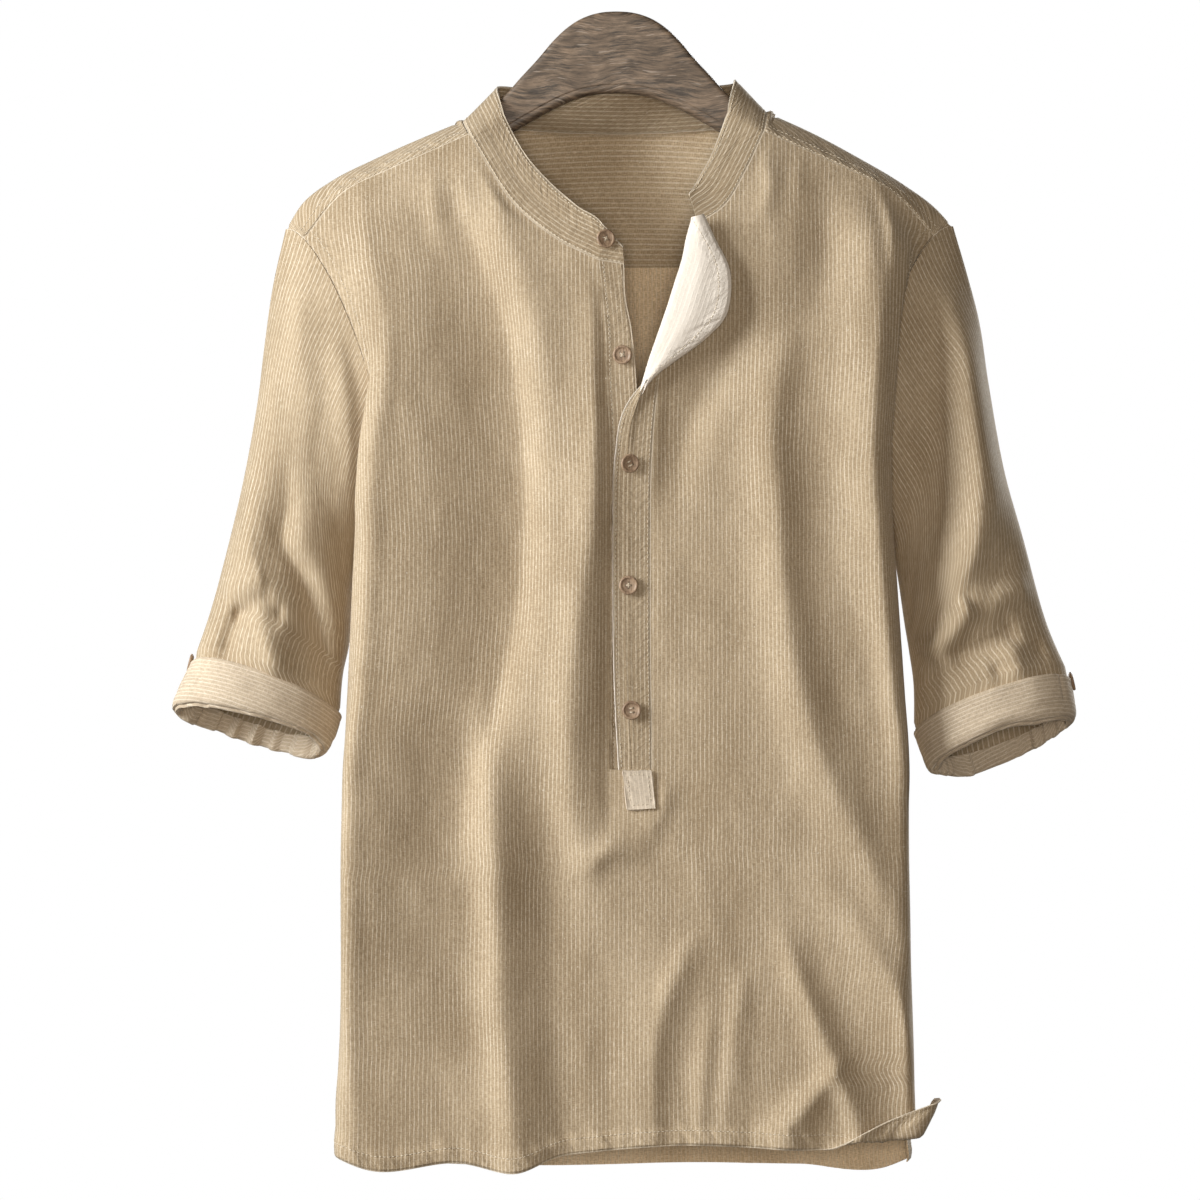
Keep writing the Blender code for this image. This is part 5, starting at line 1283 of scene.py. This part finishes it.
def make_button(template, node, facing, turn, cross):
    """Detailed button in a CAD button's place, with its thread."""
    # The CAD button is flat, so the last axis of its points is its own.
    points = np.array([v.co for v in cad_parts[node].data.vertices])
    centre = points.mean(axis=0)
    outwards = np.linalg.svd(points - centre, full_matrices=False)[2][2]
    if outwards @ facing < 0:
        outwards = -outwards
    back = centre + outwards * ((points - centre) @ outwards).min()
    across = np.cross(outwards, (0.0, 0.0, 1.0))
    across /= np.linalg.norm(across)
    upright = np.cross(outwards, across)
    c, s = math.cos(math.radians(turn)), math.sin(math.radians(turn))
    right, up = across * c + upright * s, upright * c - across * s
    mesh = template.copy()
    mesh.name = "sewn_" + node
    local = np.array([v.co for v in mesh.vertices])
    placed = back + local[:, :1] * right + local[:, 1:2] * up + local[:, 2:] * outwards
    mesh.vertices.foreach_set("co", placed.ravel())
    mesh.materials.clear()
    made = add_object("sewn_" + node, mesh, (BUTTON_MAT,), sharp=BUTTON_SHARP)
    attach(made, "root")
    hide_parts(node)

    shape = bmesh.new()
    corners = [back / MM + right * x * HOLE_PLACE + up * y * HOLE_PLACE + outwards * THREAD_BASE
               for x, y in ((-1, -1), (1, -1), (1, 1), (-1, 1))]
    for a, b in ((0, 2), (1, 3)) if cross else ((0, 1), (2, 3)):
        for shift in (-THREAD_SHIFT, THREAD_SHIFT):
            aside = np.cross(corners[b] - corners[a], outwards)
            aside *= shift / np.linalg.norm(aside)
            thread_tube(shape, corners[a] + aside, corners[b] + aside, outwards * THREAD_RISE)
    name = "thread_" + node
    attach(add_object(name, mesh_of(shape, name), (THREAD_MAT,)), "root")


# ---------------------------------------------------------------- the garment
def cloth_piece(made, node):
    """Attaches a sheet of cloth to the root and hides the CAD node that it stands for."""
    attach(made, "root")
    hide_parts(node)


def panel_uv(grid, centre):
    """Weave coordinates of a panel: level distance from the centre column, and height."""
    level = grid.copy()
    level[:, :, 2] = 0
    run = distances(level, 1)
    across = run - run[:, centre:centre + 1] + grid[:, centre:centre + 1, 0]
    return np.stack((across, -grid[:, :, 2]), axis=2)


def strip_uv(grid):
    """Weave coordinates of a strip that hangs straight down."""
    return np.stack((distances(grid, 1), -grid[:, :, 2]), axis=2)


def make_front(left, right, places, slot_last):
    """Front panel with the placket's slot; gives its grid and its stitching."""
    start, end = left[:, -1], right[:, -1]
    shares = np.linspace(0, 1, SLOT_COLUMNS + 1)[1:-1]
    middle = start[:, None] + (end - start)[:, None] * shares[:, None]
    body = with_hem(np.concatenate((left, middle, right[:, ::-1]), axis=1))

    def in_slot(i, j):
        return i < slot_last and SHOULDER_COLUMNS <= j < SHOULDER_COLUMNS + SLOT_COLUMNS

    uv = panel_uv(body, SHOULDER_COLUMNS)
    from_left = distances(body, 1)
    from_right = from_left[:, -1:] - from_left
    from_hem = distances(body[::-1], 0)[::-1]
    arm_row = int(np.searchsorted(places, FRONT_ARM_ROWS))
    arm = (np.arange(len(body)) <= arm_row)[:, None]
    seam = np.where(arm, np.minimum(from_left, from_right), SEAMLESS)
    seam = np.minimum(seam, from_hem)
    near_hem = seam == from_hem
    run = np.where(near_hem, body[:, :, 0], body[:, :, 2])
    body = raised(body, seam, run, np.where(near_hem, HEM_LIP, ARMHOLE_LIP), rise=0.7,
                  pucker=np.where(near_hem, 1.6, 1.1), seed=31)
    made = shell("shirt_front", body, CLOTH, uv, (CLOTH_MAT,), hole=in_slot, seam=(seam, run))
    cloth_piece(made, "front")
    half, inset = SHOULDER_COLUMNS + SLOT_COLUMNS // 2, ARMHOLE_LIP - STITCH_INSET
    arm, hem = slice(0, arm_row - 4), slice(-HEM_BAND, None)
    return body, [crossing(body[arm, :half], from_left[arm, :half], inset, 1),
                  crossing(body[arm, half:], from_right[arm, half:], inset, 1),
                  crossing(body[hem], from_hem[hem], HEM_LIP - STITCH_INSET, 0)]


def make_back(back, places):
    """Back panel; gives its stitching."""
    middle = back.shape[1] // 2
    from_left = distances(back, 1)
    seam = np.minimum(from_left, from_left[:, -1:] - from_left)
    seam = np.where(places[:, None] <= BACK_ARM_ROWS, seam, SEAMLESS)
    from_hem = distances(back[::-1], 0)[::-1]
    seam = np.minimum(seam, from_hem)
    run = np.where(seam == from_hem, back[:, :, 0], back[:, :, 2])
    back = raised(back, seam, run, HEM_LIP, rise=0.7, pucker=0.9, seed=41, flip=True)
    made = shell("shirt_back", back, CLOTH, panel_uv(back, middle), (CLOTH_MAT, INSIDE_PAINTED_LIGHT_MAT),
                 flip=True, seam=(seam, back[:, :, 2]))
    cloth_piece(made, "back")
    hem = slice(-HEM_BAND, None)
    return [crossing(back[hem], from_hem[hem], HEM_LIP - STITCH_INSET, 0, flip=True)]


def make_yoke(yoke):
    """Yoke, crumpled inside; gives its grid and its stitching."""
    down, side = distances(yoke, 0), distances(yoke, 1)
    uv = np.stack((down - down[-1:], yoke[:, :, 0]), axis=2)
    seam = np.minimum(np.minimum(down, down[-1:] - down), np.minimum(side, side[:, -1:] - side))
    behind = ease(0.3, 0.45, np.linspace(0, 1, len(yoke)))[:, None] * ease(0, 14, seam)
    crumple = noise(yoke[:, :, 0] / 13 + 30, down / 7 + 20, 57)
    yoke[:, :, 1] += 1.5 * behind * crumple * (1 - ease(30, 62, down - down[YOKE_ROWS // 3]))
    yoke = raised(yoke, down, yoke[:, :, 0], YOKE_SEAM, rise=0.8, pucker=0.9, seed=51,
                  flip=True)
    made = shell("shirt_yoke", yoke, CLOTH, uv, (YOKE_MAT, YOKE_INSIDE_PAINTED_LIGHT_MAT), flip=True,
                 seam=(seam, yoke[:, :, 0]))
    cloth_piece(made, "yoke")
    down = distances(yoke, 0)
    lines = [crossing(yoke[:, part], down[:, part], away, 0, flip=True)
             for part in (slice(4, SHOULDER_COLUMNS + 1), slice(-SHOULDER_COLUMNS - 1, -4))
             for away in YOKE_STITCHES]
    from_foot = down[-1:] - down
    lines.append(crossing(yoke[:, 4:-4], from_foot[:, 4:-4], YOKE_BACK_STITCH, 0, flip=True))
    return yoke, lines


def make_under(left, right):
    """Button side of the placket; gives its grid and its stitching."""
    under = under_grid(left, right)
    uv = strip_uv(under)
    across = distances(under, 1)
    under = raised(under, across, under[:, :, 2], UNDER_SEAM, rise=0.35, pucker=0.9, seed=61)
    made = shell("placket_under", under, DOUBLE, uv, (BAND_MAT,),
                 seam=(across[:, -1:] - across, under[:, :, 2]))
    cloth_piece(made, "under_placket")
    return under, crossing(under, distances(under, 1), UNDER_STITCH, 1)


def make_over(left, right, under_line):
    """Buttonhole side of the placket; gives the stitching of both sides."""
    over = over_grid(left, right)
    uv = strip_uv(over)
    across = distances(over, 1)
    free = across[:, -1:] - across
    over = raised(over, free, over[:, :, 2], FLAP_SEAM, rise=-0.7, pucker=0.5, seed=71,
                  flip=True)
    made = shell("placket_over", over, DOUBLE, uv, (BAND_MAT, FLAP_PAINTED_LIGHT_MAT), flip=True,
                 seam=(np.minimum(across, free), over[:, :, 2]))
    cloth_piece(made, "over_placket")
    across = distances(over, 1)
    free = across[:, -1:] - across
    # The flap's seam also shows on its reverse.
    flap = slice(0, int(np.searchsorted(-over[:, 0, 2], -FLAP_FOOT_Z)))
    reverse = crossing(over[flap], free[flap], FLAP_SEAM - STITCH_INSET, 1, flip=True)
    reverse[:, 3:] *= -1
    reverse[:, :3] += reverse[:, 3:] * DOUBLE
    lines = [crossing(over, away, place, 1, flip=True)
             for away, place in zip((across, free), OVER_STITCHES)]
    return [*lines, under_line, reverse]


def make_band(left, right, yoke, under):
    """Collar band; gives its stitching."""
    band = band_grid(left, right, yoke, under)
    up, length = distances(band, 0), distances(band, 1)
    uv = np.stack((up, length), axis=2)
    edges = np.minimum(up, up[-1:] - up)
    band = raised(band, edges, length, BAND_SEAM, rise=-0.35, pucker=0.45, seed=81)
    made = shell("neck_band", band, DOUBLE, uv, (BAND_MAT,), seam=(edges, length))
    cloth_piece(made, "collar_band")
    return [edge_line(band, row=row)[1:-1] for row in (1, -2)]


def make_box(body):
    """Stitched box at the placket's foot; gives its stitching."""
    box = box_grid(body)
    uv = strip_uv(box)
    across, down = distances(box, 1), distances(box, 0)
    inside = np.minimum(np.minimum(across, across[:, -1:] - across),
                        np.minimum(down, down[-1:] - down))
    box = raised(box, inside, box[:, :, 2] + box[:, :, 0], BOX_SEAM, rise=-0.5, pucker=1.1,
                 seed=91)
    made = shell("placket_patch", box, DOUBLE, uv, (PATCH_MAT,))
    cloth_piece(made, "placket_box")
    return ([edge_line(box, row=row)[2:-2] for row in (2, -3)]
            + [edge_line(box, column=column)[2:-2] for column in (2, -3)])


def make_arm(side):
    """A sleeve and its rolled cuff."""
    grid = sleeve_grid(side)
    around, outer = round_tube(grid)[:, :-1], SLEEVE_COLUMNS // 2
    uv = np.stack((around - around[:, outer:outer + 1], distances(grid, 0)), axis=2)
    made = shell("shirt_sleeve_" + side, grid, CLOTH, uv, (SLEEVE_MAT,), closed=True,
                 flip=side == "right")
    cloth_piece(made, "sleeve_" + side)
    grid = cuff_grid(side)
    uv = np.stack((distances(grid, 0), round_tube(grid)[:, :-1]), axis=2)
    made = shell("rolled_cuff_" + side, grid, CLOTH, uv, (CUFF_MAT,), closed=True,
                 flip=side == "right")
    cloth_piece(made, "cuff_" + side)


def make_garment():
    """All the cloth pieces, and then their stitching."""
    left, right, back, yoke, places, back_places = body_grids()
    in_slot = np.nonzero((places >= NECK_CORNER_ROW) & (places <= SLOT_BOTTOM_ROW))[0]
    first, last = in_slot[0], in_slot[-1]
    left_edge, right_edge = left[:, -1], right[:, -1]
    lines = {}
    body, lines["front"] = make_front(left, right, places, last)
    lines["back"] = make_back(back, back_places)
    yoke, lines["yoke"] = make_yoke(yoke)
    slot, neck = slice(first, last + 1), slice(0, first + 1)
    under, under_line = make_under(left_edge[slot], right_edge[slot])
    lines["placket"] = make_over(left_edge[slot], right_edge[slot], under_line)
    band_lines = make_band(left_edge[neck], right_edge[neck], yoke, under)
    lines["patch"] = make_box(body)
    lines["band"] = band_lines
    for side in SIDES:
        make_arm(side)
    for name, rows in lines.items():
        stitches("stitches_" + name, rows)


def box_grid(body):
    """Grid of the stitched box at the placket's foot, laid on the front."""
    top_left, top_right, low_right, low_left = (np.array(c, float) for c in BOX_CORNERS)
    flat = body.reshape(-1, 3)
    rows = []
    for down in np.linspace(0, 1, BOX_ROWS):
        left = top_left + (low_left - top_left) * down
        right = top_right + (low_right - top_right) * down
        row = []
        for across in np.linspace(0, 1, BOX_COLUMNS):
            x, z = left + (right - left) * across
            away = (flat[:, 0] - x) ** 2 + (flat[:, 2] - z) ** 2
            near = np.argsort(away)[:6]
            weight = 1 / (away[near] + 1)
            depth = float((flat[near, 1] * weight).sum() / weight.sum())
            row.append((x, depth - BOX_LIFT, z))
        rows.append(row)
    return np.array(rows)


def make_buttons():
    """The five front buttons and the two on the cuffs."""
    template = button_mesh()
    for button in BUTTONS:
        make_button(template, *button)


# ---------------------------------------------------------------- studio
VIEW_CENTRE = (-0.0112, 0.0, -0.400)
VIEW_WIDTH = 0.816
CAMERA_DISTANCE = 4.2
SENSOR = 36.0
FLOOR_Z = -1.6
FLOOR_RADIUS = 5.0
FLOOR_CORNERS = 64
FLOOR_GLOW = 0.85
AMBIENT = 0.16
AMBIENT_COLOUR = (1.0, 0.95, 0.88, 1)
WHITE = (1, 1, 1, 1)
LAMPS = (                 # place, size, power and colour; the last two light the back
    ("key", (-2.55, -1.25, 0.45), 1.3, 150, (0.93, 0.97, 1.0)),
    ("front", (VIEW_CENTRE[0], -4.35, VIEW_CENTRE[2]), 0.9, 70, (1.0, 0.925, 0.84)),
    ("rear_key", (1.5, 2.5, 0.5), 1.2, 110, (0.93, 0.97, 1.0)),
    ("rear", (-0.7, 4.2, 0.1), 1.2, 60, (1.0, 0.94, 0.87)),
)


def make_studio():
    """Pale floor under a white surround, and soft lamps in front and behind."""
    pale = Nodes("studio_floor")
    # Only what the camera sees of the floor glows, so that the floor lights nothing.
    seen = pale.add("ShaderNodeLightPath").outputs["Is Camera Ray"]
    pale.give(Base_Color=(0.9, 0.9, 0.9, 1), Roughness=1.0, Emission_Color=WHITE,
              Emission_Strength=pale.times(seen, FLOOR_GLOW))
    turns = np.linspace(0, 2 * math.pi, FLOOR_CORNERS, endpoint=False)
    rim = [(FLOOR_RADIUS * math.cos(a), FLOOR_RADIUS * math.sin(a), FLOOR_Z) for a in turns]
    mesh = bpy.data.meshes.new("floor")
    mesh.from_pydata(rim, [], [tuple(range(FLOOR_CORNERS))])
    floor = add_object("floor", mesh, (pale.material,))
    floor.visible_diffuse = floor.visible_glossy = False

    world = bpy.data.worlds.new("studio")
    bpy.context.scene.world = world
    world.use_nodes = True
    tree = world.node_tree
    ambient = tree.nodes["Background"]
    ambient.inputs[0].default_value = AMBIENT_COLOUR
    ambient.inputs[1].default_value = AMBIENT
    surround = tree.nodes.new("ShaderNodeBackground")
    surround.inputs[0].default_value = WHITE
    either = tree.nodes.new("ShaderNodeMixShader")
    path = tree.nodes.new("ShaderNodeLightPath")
    tree.links.new(path.outputs["Is Camera Ray"], either.inputs[0])
    tree.links.new(ambient.outputs[0], either.inputs[1])
    tree.links.new(surround.outputs[0], either.inputs[2])
    tree.links.new(either.outputs[0], tree.nodes["World Output"].inputs[0])

    for name, place, size, power, colour in LAMPS:
        light = bpy.data.lights.new(name, "AREA")
        light.shape = "SQUARE"
        light.size = size
        light.energy = power
        light.color = colour
        lamp = bpy.data.objects.new(name, light)
        lamp.location = place
        aim = Vector(VIEW_CENTRE) - Vector(place)
        lamp.rotation_euler = aim.to_track_quat("-Z", "Y").to_euler()
        bpy.context.scene.collection.objects.link(lamp)

    lens = bpy.data.cameras.new("camera")
    lens.sensor_width = SENSOR
    lens.lens = SENSOR * CAMERA_DISTANCE / VIEW_WIDTH
    lens.clip_end = 100
    camera = bpy.data.objects.new("camera", lens)
    camera.location = (VIEW_CENTRE[0], -CAMERA_DISTANCE, VIEW_CENTRE[2])
    camera.rotation_euler = (math.radians(90), 0, 0)
    bpy.context.scene.collection.objects.link(camera)
    bpy.context.scene.camera = camera
    bpy.context.scene.view_settings.view_transform = "Standard"


make_garment()
make_hanger()
make_buttons()
make_studio()
